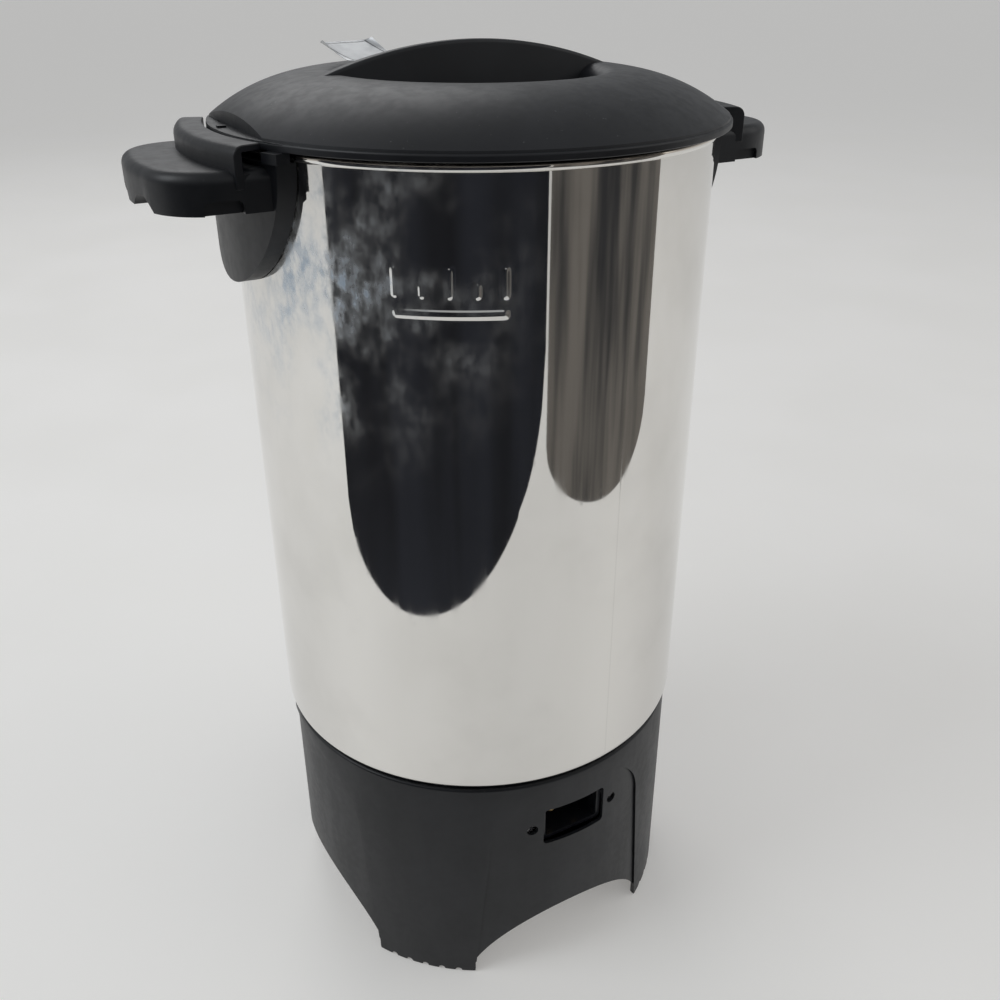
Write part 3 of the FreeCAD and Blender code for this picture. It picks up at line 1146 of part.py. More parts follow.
def tap_lever():
    half_w = LEVER_HALF_W
    pivot_z = LEVER_PIVOT_Z
    cam = cyl_x(LEVER_CAM_R, -half_w, half_w, TAP_Y, pivot_z)
    cam = cam.fuse(cyl_x(LEVER_CAM_R, -half_w, half_w, TAP_Y - LEVER_CAM_OFFSET, pivot_z))
    cam = cam.fuse(box(-half_w, half_w, TAP_Y - LEVER_CAM_OFFSET, TAP_Y, pivot_z - LEVER_CAM_R,
                       pivot_z + LEVER_CAM_R))
    lean = LEVER_LEAN
    top = LEVER_TOP_Z
    t = LEVER_T
    back_low = V(-half_w, TAP_Y + 1.0, pivot_z + 2)
    back_mid = V(-half_w, TAP_Y - lean * 0.30, (pivot_z + top) / 2)
    back_top = V(-half_w, TAP_Y - lean, top - t / 2)
    tip = V(-half_w, TAP_Y - lean - t * 0.6, top)
    front_top = V(-half_w, TAP_Y - lean - t * 1.1, top - t / 2)
    front_mid = V(-half_w, TAP_Y - lean * 0.30 - t, (pivot_z + top) / 2)
    front_low = V(-half_w, TAP_Y - LEVER_CAM_OFFSET - 4.0, pivot_z + 2)
    outline = Part.Wire([
        arc_through(back_low, back_mid, back_top),
        arc_through(back_top, tip, front_top),
        arc_through(front_top, front_mid, front_low),
        line(front_low, back_low),
    ])
    paddle = Part.Face(outline).extrude(V(2 * half_w, 0, 0))
    lever = cam.fuse(paddle).removeSplitter()
    slot = cyl_x(LEVER_CAM_R + 0.6, -LEVER_SLOT_HALF_W, LEVER_SLOT_HALF_W, TAP_Y, pivot_z)
    slot = slot.fuse(box(-LEVER_SLOT_HALF_W, LEVER_SLOT_HALF_W, TAP_Y - 14, TAP_Y + 14,
                         pivot_z - 14, pivot_z))
    lever = lever.cut(slot)
    lever = lever.cut(cyl_x(LEVER_PIN_R + LEVER_PIN_PLAY, -20, 20, TAP_Y, pivot_z))
    return lever


def gauge():
    glass = tube(GAUGE_GLASS_R, GAUGE_GLASS_BORE_R, GAUGE_LOW_Z, GAUGE_TOP_Z, 0, GAUGE_Y)
    gasket = tube(GAUGE_BORE_R - 0.05, GAUGE_GLASS_R + 0.05, GAUGE_SOCKET_TOP_Z - 9.0,
                  GAUGE_SOCKET_TOP_Z - 0.4, 0, GAUGE_Y)
    lip = tube(7.0, GAUGE_GLASS_R + 0.05, GAUGE_SOCKET_TOP_Z + 0.05, GAUGE_SOCKET_TOP_Z + 1.6, 0, GAUGE_Y)
    gasket = gasket.fuse(lip)
    gasket = gasket.fuse(tube(GAUGE_BORE_R - 0.05, GAUGE_GLASS_R + 0.05, GAUGE_SOCKET_TOP_Z - 1.0,
                              GAUGE_SOCKET_TOP_Z + 0.5, 0, GAUGE_Y)).removeSplitter()
    cap = cyl(7.0, GAUGE_TOP_Z - 5.0, GAUGE_TOP_Z + 4.0, 0, GAUGE_Y)
    cap = cap.cut(cyl(GAUGE_GLASS_R + 0.08, GAUGE_TOP_Z - 6.0, GAUGE_TOP_Z + 0.1, 0, GAUGE_Y))
    cap = cap.cut(cyl(0.8, GAUGE_TOP_Z - 1.0, GAUGE_TOP_Z + 6.0, 0, GAUGE_Y))
    guard = box(-GUARD_HALF_W, GUARD_HALF_W, GUARD_FRONT_Y, -VESSEL_R + 12, GUARD_LOW_Z, GUARD_TOP_Z)
    upright = [g for g in guard.Edges if g.BoundBox.ZMax - g.BoundBox.ZMin > 50
               and g.BoundBox.YMax < GUARD_FRONT_Y + 1]
    guard = guard.makeFillet(2.4, upright)
    inside = box(-GUARD_HALF_W + GUARD_WALL, GUARD_HALF_W - GUARD_WALL, GUARD_FRONT_Y - 5, GUARD_BACK_Y,
                 GUARD_LOW_Z - 1, GUARD_TOP_Z - 3.0)
    guard = guard.cut(inside)
    guard = guard.cut(cyl(VESSEL_R + 0.1, GUARD_LOW_Z - 5, GUARD_TOP_Z + 5))
    hole = cyl_y(HANDLE_SCREW_R + 0.05, GUARD_BACK_Y + 0.4, -VESSEL_R + 12, 0, GUARD_SCREW_Z)
    guard = guard.cut(hole)
    screw, seal = wall_screw(0.0, GUARD_SCREW_Z)
    short = screw.cut(box(-GUARD_BACK_Y - 1.0, SCREW_TIP_X + 5, -20, 20, GUARD_SCREW_Z - 20, GUARD_SCREW_Z + 20))
    return glass, gasket, cap, guard.removeSplitter(), turned(short, -90), turned(seal, -90)


def build():
    nodes = {}
    nodes["vessel"] = vessel()
    nodes["base_housing"] = base_housing()
    nodes["bottom_plate"] = bottom_plate()
    nodes["centre_stud"], nodes["centre_washer"], nodes["centre_nut"] = stud_and_nut()
    plate, main, warm, pins = heating()
    nodes["heater_plate"] = plate
    nodes["heating_element"] = main
    nodes["keep_warm_element"] = warm
    nodes["element_pins"] = pins
    nodes["heat_shield"], nodes["shield_screws"] = heat_shield()
    nodes["thermostat"] = thermostat()
    nodes["thermal_fuse"], nodes["fuse_clip"] = thermal_fuse()
    nodes["inlet_block"], nodes["inlet_pins"], nodes["inlet_screws"] = inlet()
    nodes["indicator_lens"], nodes["indicator_lamp"] = indicator()
    nodes["wiring"] = wiring()
    nodes["handle_right"] = handle()
    nodes["handle_left"] = turned(handle(), TURN_180)
    nodes["handle_screws"], nodes["handle_seals"] = handle_fixings()
    nodes["lid"] = lid()
    nodes["lid_sticker"] = lid_sticker()
    nodes["pump_stem"], nodes["pump_foot"], nodes["pump_valve"] = brew_set()
    nodes["brew_basket"] = basket()
    nodes["basket_cover"] = basket_cover()
    nodes["tap_body"] = tap_body()
    outer, inner, nut = tap_fixings()
    nodes["tap_outer_washer"] = outer
    nodes["tap_inner_washer"] = inner
    nodes["tap_nut"] = nut
    nodes["tap_bonnet"] = tap_bonnet()
    nodes["tap_stem"], nodes["tap_seat_cup"], nodes["lever_pin"] = tap_stem()
    nodes["tap_spring"] = tap_spring()
    nodes["tap_lever"] = tap_lever()
    glass, gasket, cap, guard, screw, seal = gauge()
    nodes["gauge_glass"] = glass
    nodes["gauge_gasket"] = gasket
    nodes["gauge_cap"] = cap
    nodes["gauge_guard"] = guard
    nodes["gauge_screw"] = screw
    nodes["gauge_screw_seal"] = seal
    return nodes


os.makedirs("parts", exist_ok=True)
for node_name, node_shape in build().items():
    node_shape.exportStep("parts/" + node_name + ".step")
    print(node_name, len(node_shape.Solids), round(node_shape.Volume / 1000.0, 2), node_shape.isValid())
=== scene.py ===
import logging
import math
from dataclasses import dataclass
from enum import Enum, IntEnum

import bmesh
import bpy
from mathutils import Matrix, Vector


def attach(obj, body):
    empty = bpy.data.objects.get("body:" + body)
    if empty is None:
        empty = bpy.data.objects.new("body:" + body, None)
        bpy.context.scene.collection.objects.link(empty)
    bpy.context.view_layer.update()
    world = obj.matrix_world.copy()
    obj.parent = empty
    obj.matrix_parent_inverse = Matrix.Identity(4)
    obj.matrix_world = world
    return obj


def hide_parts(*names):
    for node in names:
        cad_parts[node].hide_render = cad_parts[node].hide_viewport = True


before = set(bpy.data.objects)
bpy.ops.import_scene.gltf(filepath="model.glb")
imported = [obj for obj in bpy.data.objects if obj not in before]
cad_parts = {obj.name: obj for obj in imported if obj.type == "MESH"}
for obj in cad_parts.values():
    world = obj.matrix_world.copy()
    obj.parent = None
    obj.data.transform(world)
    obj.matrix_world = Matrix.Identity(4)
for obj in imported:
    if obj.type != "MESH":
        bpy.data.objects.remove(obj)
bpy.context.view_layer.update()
LOG = logging.getLogger("coffee_urn")
MM = 0.001
LABEL_INNER = 50.0
LABEL_OUTER = 78.0
LABEL_W = 26.0
LABEL_TURN = -73.0
Mesh = bmesh.types.BMesh
Socket = bpy.types.NodeSocket
Profile = list[tuple[float, float]]
Span = tuple[float, float, int]
Colour = tuple[float, float, float, float]
ROUND: Span = (0.0, 360.0, 240)
HIDDEN_ROUND: Span = (0.0, 360.0, 160)


class Body(Enum):
    """The moving groups that finished pieces ride on."""

    URN = "urn"
    BREWING = "brewing_set"
    COVER = "basket_cover"
    LID = "lid"
    LEVER = "tap_lever"


class Cut(Enum):
    """How one solid works on another."""

    TAKE_AWAY = "DIFFERENCE"
    KEEP_COMMON = "INTERSECT"


class Axis(IntEnum):
    """The axes of the shared frame."""

    X = 0
    Y = 1
    Z = 2


# Finishes


class Sheet:
    """A material's node tree while it is being built."""

    def __init__(self, name: str) -> None:
        """Starts an empty material with one surface shader.

        Args:
            name: the material's name.
        """
        self.material = bpy.data.materials.new(name)
        self.material.use_nodes = True
        self.tree = self.material.node_tree
        self.shader = self.tree.nodes["Principled BSDF"]
        self.place = self.tree.nodes.new("ShaderNodeTexCoord").outputs["Object"]

    def add(self, kind: str, **values: object) -> bpy.types.Node:
        """Adds a node and sets its inputs, by link or by value.

        Args:
            kind: the node's type.
            values: input names, with underscores for spaces, and what goes in.

        Returns:
            The new node.
        """
        return self.fill(self.tree.nodes.new(kind), values)

    def fill(self, node: bpy.types.Node, values: dict[str, object]) -> bpy.types.Node:
        """Sets a node's inputs by their names, and returns the node."""
        for key, value in values.items():
            self.feed(node.inputs[key.replace("_", " ")], value)
        return node

    def surface(self, **values: object) -> None:
        """Sets the surface shader's inputs, by link or by value."""
        self.fill(self.shader, values)

    def feed(self, socket: Socket, value: object) -> None:
        """Links an output to a socket, or sets the socket's own value."""
        if isinstance(value, Socket):
            self.tree.links.new(value, socket)
        else:
            socket.default_value = value

    def noise(self, scale: float, detail: float = 3.0,
              stretch: tuple[float, float, float] = (1.0, 1.0, 1.0)) -> Socket:
        """A noise pattern fixed to the object.

        Args:
            scale: patches per metre.
            detail: octaves of finer noise.
            stretch: scale of each axis.

        Returns:
            The pattern's value.
        """
        turned = self.add("ShaderNodeMapping", Vector=self.place, Scale=stretch)
        return self.add("ShaderNodeTexNoise", Vector=turned.outputs["Vector"], Scale=scale,
                        Detail=detail).outputs["Fac"]

    def ranged(self, value: Socket, low: float, high: float, to_low: float = 0.0,
               to_high: float = 1.0) -> Socket:
        """Maps a value smoothly from one range to another.

        Args:
            value: what is mapped.
            low: where the range starts.
            high: where the range ends.
            to_low: the result at the start.
            to_high: the result at the end.

        Returns:
            The mapped value.
        """
        node = self.add("ShaderNodeMapRange", Value=value, From_Min=low, From_Max=high,
                        To_Min=to_low, To_Max=to_high)
        node.interpolation_type = "SMOOTHSTEP"
        return node.outputs["Result"]

    def reckon(self, kind: str, how: str, *values: object) -> Socket:
        """Adds a node that reckons with its inputs in order, and returns its value."""
        node = self.tree.nodes.new(kind)
        node.operation = how
        for socket, value in zip(node.inputs, values):
            self.feed(socket, value)
        return node.outputs["Value"]

    def sum_of(self, first: object, second: object, how: str = "ADD") -> Socket:
        """Puts two values through one step of arithmetic, and returns the result."""
        return self.reckon("ShaderNodeMath", how, first, second)

    def times(self, first: object, second: object) -> Socket:
        """One value times another."""
        return self.sum_of(first, second, "MULTIPLY")

    def size_of(self, value: Socket) -> Socket:
        """The size of a value, whatever its sign."""
        return self.reckon("ShaderNodeMath", "ABSOLUTE", value)

    def blend(self, factor: Socket, first: object, second: object) -> Socket:
        """Blends two colours by a factor, and returns the colour."""
        node = self.tree.nodes.new("ShaderNodeMix")
        node.data_type = "RGBA"
        self.feed(node.inputs["Factor"], factor)
        self.feed(node.inputs[6], first)
        self.feed(node.inputs[7], second)
        return node.outputs[2]

    def relief(self, height: Socket, depth_mm: float,
               under: Socket | None = None) -> Socket:
        """Small surface relief.

        Args:
            height: the pattern.
            depth_mm: how deep the pattern is.
            under: a coarser relief below this one.

        Returns:
            The bent normal.
        """
        node = self.add("ShaderNodeBump", Height=height, Distance=depth_mm * MM, Strength=1.0)
        if under is not None:
            self.feed(node.inputs["Normal"], under)
        return node.outputs["Normal"]

    def near(self, spot_mm: tuple[float, float, float], reach_mm: float) -> Socket:
        """A mask that is one at a spot and fades to nothing at its reach."""
        away = self.reckon("ShaderNodeVectorMath", "DISTANCE", self.place, tuple(v * MM for v in spot_mm))
        return self.ranged(away, 0.0, reach_mm * MM, 1.0, 0.0)

    def axis(self, letter: str) -> Socket:
        """One coordinate of the place on the object."""
        return self.add("ShaderNodeSeparateXYZ", Vector=self.place).outputs[letter]


@dataclass(frozen=True)
class Finish:
    """What every finish has: a name and the record's slot that it stands for."""

    name: str
    slot: str

    def dress(self, sheet: Sheet) -> None:
        """Builds the finish in a sheet."""
        raise NotImplementedError

    def material(self) -> bpy.types.Material:
        """The finish's material, made once."""
        known = bpy.data.materials.get(self.name)
        if known is not None:
            return known
        sheet = Sheet(self.name)
        self.dress(sheet)
        return sheet.material


@dataclass(frozen=True)
class MouldedPlastic(Finish):
    """Satin moulded plastic with a fine grain, faint rubbing and a little dust."""

    dark: Colour = (0.0062, 0.0070, 0.0092, 1.0)
    pale: Colour = (0.0105, 0.0115, 0.0145, 1.0)
    dust: Colour = (0.11, 0.11, 0.112, 1.0)
    smooth: float = 0.40
    rough: float = 0.47
    grain_mm: float = 0.014

    def dress(self, sheet: Sheet) -> None:
        """Builds the plastic in a sheet."""
        patches = sheet.ranged(sheet.noise(34.0, 5.0), 0.35, 0.70)
        grain = sheet.noise(1900.0, 2.0)
        rubs = sheet.noise(120.0, 4.0, (1.0, 1.0, 0.22))
        specks = sheet.ranged(sheet.noise(720.0, 2.0), 0.71, 0.78, 0.0, 0.5)
        upward = sheet.add("ShaderNodeNewGeometry").outputs["Normal"]
        up = sheet.ranged(sheet.add("ShaderNodeSeparateXYZ", Vector=upward).outputs["Z"], 0.2, 1.0)
        base = sheet.blend(patches, self.dark, self.pale)
        worn = sheet.ranged(sheet.sum_of(sheet.noise(310.0), rubs), 0.75, 1.3, self.smooth, self.rough)
        sheet.surface(Base_Color=sheet.blend(sheet.times(up, specks), base, self.dust), Roughness=worn,
                      Specular_IOR_Level=0.44, Normal=sheet.relief(grain, self.grain_mm))


@dataclass(frozen=True)
class PolishedSheet(Finish):
    """Mirror polished aluminium sheet with handling marks, wiping streaks and a seam; the marks' bluish haze
    is partly painted reflection, and the rim's bead carries a painted warm glint.
    """

    bright: Colour = (0.80, 0.785, 0.755, 1.0)
    dulled: Colour = (0.68, 0.665, 0.635, 1.0)
    # Painted warm glint colour for the rolled rim's bead.
    warm: Colour = (0.80, 0.66, 0.50, 1.0)
    # Bluish haze colour of the handling marks: partly real smudge film, partly painted reflection.
    haze: Colour = (0.36, 0.46, 0.58, 1.0)
    smudge_and_reflection_at: tuple[float, float, float] = (82.0, 44.0, 330.0)
    smudge_and_reflection_reach: float = 88.0
    seam_angle: float = 1.71
    seam_half: float = 0.006
    bead_low: float = 0.3652

    def dress(self, sheet: Sheet) -> None:
        """Builds the polished metal in a sheet."""
        cloud = sheet.ranged(sheet.noise(26.0, 8.0), 0.40, 0.80, 0.0, 0.55)
        streaks = sheet.noise(190.0, stretch=(1.0, 1.0, 0.035))
        fine = sheet.noise(420.0, stretch=(1.0, 1.0, 0.5))
        wisps = sheet.ranged(sheet.noise(270.0, 9.0, (1.0, 1.0, 0.6)), 0.30, 0.76, 0.12)
        # Handling marks near one spot: real smudges that roughen and dull the metal, with a bluish tint that
        # is partly painted reflection.
        marks = sheet.times(sheet.near(self.smudge_and_reflection_at, self.smudge_and_reflection_reach),
                            sheet.ranged(sheet.noise(44.0, 9.0), 0.36, 0.72))
        marks = sheet.times(marks, wisps)
        angle = sheet.sum_of(sheet.axis("Y"), sheet.axis("X"), "ARCTAN2")
        off = sheet.size_of(sheet.sum_of(angle, self.seam_angle, "SUBTRACT"))
        seam = sheet.ranged(off, 0.0, self.seam_half, 1.0, 0.0)
        tone = sheet.blend(sheet.sum_of(cloud, sheet.times(seam, 0.45)), self.bright, self.dulled)
        # Painted warm glint: the metal above bead_low, on the rolled rim's bead, is tinted warm to stand for
        # reflected light.
        painted_rim_glint = sheet.ranged(sheet.axis("Z"), self.bead_low, self.bead_low + 0.0006, 0.0, 0.55)
        # The marks' bluish haze colour: partly smudge film, partly painted reflection.
        smudged_and_reflecting = sheet.blend(marks, tone, self.haze)
        rough = sheet.ranged(streaks, 0.45, 0.75, 0.028, 0.075)
        for more in (sheet.times(marks, 0.38), sheet.times(seam, 0.10),
                     sheet.ranged(fine, 0.62, 0.80, 0.0, 0.05)):
            rough = sheet.sum_of(rough, more)
        waves = sheet.relief(sheet.noise(13.0, 1.0, (1.0, 1.0, 0.4)), 0.16)
        sheet.surface(Base_Color=sheet.blend(painted_rim_glint, smudged_and_reflecting, self.warm), Roughness=rough,
                      Metallic=sheet.sum_of(1.0, sheet.times(marks, 0.75), "SUBTRACT"),
                      Normal=sheet.relief(fine, 0.0012, waves))


@dataclass(frozen=True)
class BareMetal(Finish):
    """Satin or plated metal with a fine grain and patches of tarnish."""

    bright: Colour = (0.62, 0.62, 0.63, 1.0)
    dull: Colour = (0.45, 0.45, 0.45, 1.0)
    smooth: float = 0.24
    rough: float = 0.42
    grain: tuple[float, float, float] = (1.0, 1.0, 0.12)
    grain_mm: float = 0.006

    def dress(self, sheet: Sheet) -> None:
        """Builds the metal in a sheet."""
        patches = sheet.noise(55.0, 5.0)
        grain = sheet.noise(900.0, stretch=self.grain)
        worn = sheet.ranged(sheet.sum_of(patches, grain), 0.75, 1.3, self.smooth, self.rough)
        sheet.surface(Base_Color=sheet.blend(sheet.ranged(patches, 0.38, 0.72), self.bright, self.dull),
                      Roughness=worn, Metallic=1.0, Normal=sheet.relief(grain, self.grain_mm))


@dataclass(frozen=True)
class SoftMatter(Finish):
    """A dull part such as rubber, ceramic or woven sleeve."""

    main: Colour = (0.05, 0.05, 0.05, 1.0)
    other: Colour = (0.09, 0.09, 0.09, 1.0)
    grain_scale: float = 700.0
    grain_mm: float = 0.03
    rough: float = 0.62

    def dress(self, sheet: Sheet) -> None:
        """Builds the matter in a sheet."""
        grain = sheet.noise(self.grain_scale)
        patches = sheet.ranged(sheet.noise(80.0, 4.0), 0.4, 0.7)
        sheet.surface(Base_Color=sheet.blend(patches, self.main, self.other),
                      Roughness=sheet.ranged(grain, 0.3, 0.7, self.rough - 0.12, self.rough + 0.1),
                      Normal=sheet.relief(grain, self.grain_mm))


@dataclass(frozen=True)
class ClearMatter(Finish):
    """Glass or a tinted lens."""

    tint: Colour = (0.97, 0.985, 0.98, 1.0)
    haze: Colour = (0.90, 0.93, 0.92, 1.0)
    rough: float = 0.03

    def dress(self, sheet: Sheet) -> None:
        """Builds the glass in a sheet."""
        film = sheet.noise(60.0, 5.0, (1.0, 1.0, 0.2))
        sheet.surface(Base_Color=sheet.blend(sheet.ranged(film, 0.45, 0.75), self.tint, self.haze),
                      Roughness=sheet.ranged(film, 0.4, 0.8, self.rough, self.rough + 0.09),
                      Transmission_Weight=1.0, IOR=1.47)


@dataclass(frozen=True)
class FoilLabel(Finish):
    """A bare silver label with a thin grey line inside its edge."""

    foil: Colour = (0.52, 0.53, 0.54, 1.0)
    line: Colour = (0.10, 0.10, 0.11, 1.0)
    line_in: float = 1.5
    line_t: float = 0.7

    def inside(self, sheet: Sheet, inset: float) -> Socket:
        """A mask that is one inside the label by at least an inset in mm."""
        x, y = sheet.axis("X"), sheet.axis("Y")
        angle = sheet.sum_of(sheet.sum_of(y, x, "ARCTAN2"), math.radians(LABEL_TURN), "SUBTRACT")
        flat = sheet.add("ShaderNodeCombineXYZ", X=x, Y=y).outputs["Vector"]
        r = sheet.reckon("ShaderNodeVectorMath", "LENGTH", flat)
        across = sheet.size_of(sheet.times(angle, r))
        mask = sheet.sum_of(across, (LABEL_W / 2.0 - inset) * MM, "LESS_THAN")
        mask = sheet.times(mask, sheet.sum_of(r, (LABEL_INNER + inset) * MM, "GREATER_THAN"))
        return sheet.times(mask, sheet.sum_of(r, (LABEL_OUTER - inset) * MM, "LESS_THAN"))

    def dress(self, sheet: Sheet) -> None:
        """Builds the label in a sheet."""
        ring = sheet.sum_of(self.inside(sheet, self.line_in),
                            self.inside(sheet, self.line_in + self.line_t), "SUBTRACT")
        sheet.surface(Base_Color=sheet.blend(ring, self.foil, self.line), Metallic=0.45,
                      Roughness=sheet.ranged(sheet.noise(300.0), 0.3, 0.7, 0.30, 0.42),
                      Normal=sheet.relief(sheet.noise(160.0), 0.02))


BLACK = MouldedPlastic("satin_black_plastic", "black_plastic")
GLOSS_BLACK = MouldedPlastic("smooth_black_plastic", "black_plastic", smooth=0.27, rough=0.40, grain_mm=0.010)
MIRROR = PolishedSheet("mirror_sheet", "polished_aluminium")
BREW = BareMetal("brew_sheet", "brew_aluminium", bright=(0.78, 0.78, 0.77, 1.0), dull=(0.60, 0.58, 0.54, 1.0),
                 smooth=0.16, rough=0.36)
CAST = BareMetal("cast_plate", "cast_aluminium", bright=(0.56, 0.56, 0.55, 1.0), dull=(0.38, 0.37, 0.36, 1.0),
                 smooth=0.42, rough=0.60, grain=(1.0, 1.0, 1.0), grain_mm=0.03)
PLATED = BareMetal("plated_steel_part", "plated_steel")
ELEMENT = BareMetal("element_sheath", "element_steel", bright=(0.34, 0.33, 0.31, 1.0),
                    dull=(0.17, 0.16, 0.15, 1.0), smooth=0.36, rough=0.55)
BRASS = BareMetal("brass_pin", "pin_brass", bright=(0.78, 0.60, 0.30, 1.0), dull=(0.58, 0.42, 0.20, 1.0))
CERAMIC = SoftMatter("ceramic_body", "ceramic_white", main=(0.72, 0.70, 0.65, 1.0),
                     other=(0.60, 0.57, 0.51, 1.0), grain_scale=1300.0, grain_mm=0.01, rough=0.48)
SLEEVE = SoftMatter("braided_sleeve", "wire_sleeve", main=(0.60, 0.58, 0.52, 1.0),
                    other=(0.46, 0.44, 0.40, 1.0), grain_scale=2400.0, grain_mm=0.05, rough=0.7)
RUBBER = SoftMatter("silicone_seal", "silicone", main=(0.30, 0.295, 0.28, 1.0),
                    other=(0.24, 0.235, 0.225, 1.0), grain_scale=500.0, grain_mm=0.015, rough=0.5)
LENS = ClearMatter("red_lens_plastic", "red_lens", tint=(0.72, 0.03, 0.015, 1.0),
                   haze=(0.55, 0.02, 0.012, 1.0), rough=0.07)
LAMP = ClearMatter("lamp_bulb_glass", "lamp_glass", tint=(0.95, 0.80, 0.62, 1.0),
                   haze=(0.90, 0.70, 0.50, 1.0))
GLASS = ClearMatter("gauge_tube_glass", "clear_glass")
LABEL = FoilLabel("bare_foil_label", "foil_label")


# Bench tools


def arc(centre_r: float, centre_z: float, radius: float, start: float, end: float, steps: int) -> Profile:
    """Points along a round stretch of a profile.

    Args:
        centre_r: the centre's distance from the axis, in mm.
        centre_z: the centre's height.
        radius: the arc's radius.
        start: first angle in degrees, 0 pointing away from the axis.
        end: last angle.
        steps: how many chords.

    Returns:
        The points, both ends included.
    """
    points = []
    for step in range(steps + 1):
        angle = math.radians(start + (end - start) * step / steps)
        points.append((centre_r + radius * math.cos(angle), centre_z + radius * math.sin(angle)))
    return points


def spun(profile: Profile, spans: list[Span], closed: bool = False) -> Mesh:
    """Spins a profile about the upright axis.

    Args:
        profile: radius and height of each point, in mm.
        spans: start angle, end angle and steps of each stretch, in degrees.
        closed: whether the profile is a loop, which gets a face so that a part turn is capped.

    Returns:
        The mesh.
    """
    made = bmesh.new()
    first = math.radians(spans[0][0])
    points = [made.verts.new((r * MM * math.cos(first), r * MM * math.sin(first), z * MM))
              for r, z in profile]
    around = abs(spans[-1][1] - spans[0][0]) > 359.9
    geometry: list = list(points)
    if closed and not around:
        geometry.append(made.faces.new(points))
        geometry += list(made.edges)
    else:
        pairs = list(zip(points, points[1:]))
        if closed:
            pairs.append((points[-1], points[0]))
        geometry += [made.edges.new(pair) for pair in pairs]
    for start, end, steps in spans:
        turn = bmesh.ops.spin(made, geom=geometry, cent=(0, 0, 0), axis=(0, 0, 1),
                              angle=math.radians(end - start), steps=steps)
        geometry = turn["geom_last"]
    bmesh.ops.remove_doubles(made, verts=made.verts, dist=1e-6)
    bmesh.ops.recalc_face_normals(made, faces=made.faces)
    return made


def band(inner: float, outer: float, low: float, high: float, span: Span) -> Mesh:
    """A ring, or a stretch of one, between two radii and two heights in mm."""
    return spun([(inner, low), (outer, low), (outer, high), (inner, high)], [span], closed=True)


def rounded(made: Mesh, edges: list[bmesh.types.BMEdge], radius: float, segments: int) -> None:
    """Rounds some edges of a mesh by a radius in mm."""
    bmesh.ops.bevel(made, geom=edges, offset=radius * MM, segments=segments, affect="EDGES", profile=0.5,
                    material=-1)


def running(made: Mesh, axis: Axis) -> list[bmesh.types.BMEdge]:
    """The edges of a mesh that run along an axis for more than a millimetre."""
    return [e for e in made.edges if abs(e.verts[0].co[axis] - e.verts[1].co[axis]) > MM]


def half_oval(half: float, middle: float, rise: float, steps: int) -> Profile:
    """Half an oval: from its right end over its crown to its left end, in mm."""
    turns = [math.pi * step / steps for step in range(steps + 1)]
    return [(half * math.cos(turn), middle + rise * math.sin(turn)) for turn in turns]


def prism(outline: Profile, axis: Axis, start: float, end: float) -> Mesh:
    """A flat outline drawn out along an axis.

    Args:
        outline: the corners' places on the two other axes, in mm.
        axis: the axis that it is drawn along.
        start: where it starts on that axis.
        end: where it ends.

    Returns:
        The closed mesh.
    """
    made = bmesh.new()
    corners = [Vector(pair[:axis] + (start,) + pair[axis:]) * MM for pair in outline]
    face = made.faces.new([made.verts.new(corner) for corner in corners])
    drawn = bmesh.ops.extrude_face_region(made, geom=[face])
    moved = [g for g in drawn["geom"] if isinstance(g, bmesh.types.BMVert)]
    run = Vector((0.0, 0.0, 0.0))
    run[axis] = end - start
    bmesh.ops.translate(made, verts=moved, vec=run * MM)
    bmesh.ops.recalc_face_normals(made, faces=made.faces)
    return made


def block(low: Vector, high: Vector) -> Mesh:
    """A plain block between two corners, in mm."""
    made = bmesh.new()
    bmesh.ops.create_cube(made, size=1.0)
    middle = (low + high) / 2 * MM
    size = (high - low) * MM
    place = Matrix.Translation(middle) @ Matrix.Diagonal((*size, 1.0))
    bmesh.ops.transform(made, matrix=place, verts=made.verts)
    return made


def rod(radius: float, start: Vector, end: Vector, sides: int = 48) -> Mesh:
    """A round rod between two points, in mm."""
    made = bmesh.new()
    run = end - start
    bmesh.ops.create_cone(made, cap_ends=True, segments=sides, radius1=radius * MM, radius2=radius * MM,
                          depth=run.length * MM)
    turn = run.to_track_quat("Z", "Y").to_matrix().to_4x4()
    bmesh.ops.transform(made, matrix=Matrix.Translation((start + end) / 2 * MM) @ turn, verts=made.verts)
    return made


def joined(parts: list[Mesh]) -> Mesh:
    """Puts several meshes into one, without joining their surfaces."""
    whole = bmesh.new()
    for part in parts:
        carrier = bpy.data.meshes.new("carrier")
        part.to_mesh(carrier)
        whole.from_mesh(carrier)
        bpy.data.meshes.remove(carrier)
    return whole


def turned(part: Mesh, degrees: float) -> Mesh:
    """A copy of a mesh turned about the upright axis."""
    copy = part.copy()
    turn = Matrix.Rotation(math.radians(degrees), 3, "Z")
    bmesh.ops.rotate(copy, verts=copy.verts, cent=(0, 0, 0), matrix=turn)
    return copy


def placed(made: Mesh, name: str) -> bpy.types.Object:
    """Puts a mesh in the scene as an object, and returns the object."""
    shape = bpy.data.meshes.new(name)
    made.to_mesh(shape)
    thing = bpy.data.objects.new(name, shape)
    bpy.context.scene.collection.objects.link(thing)
    return thing


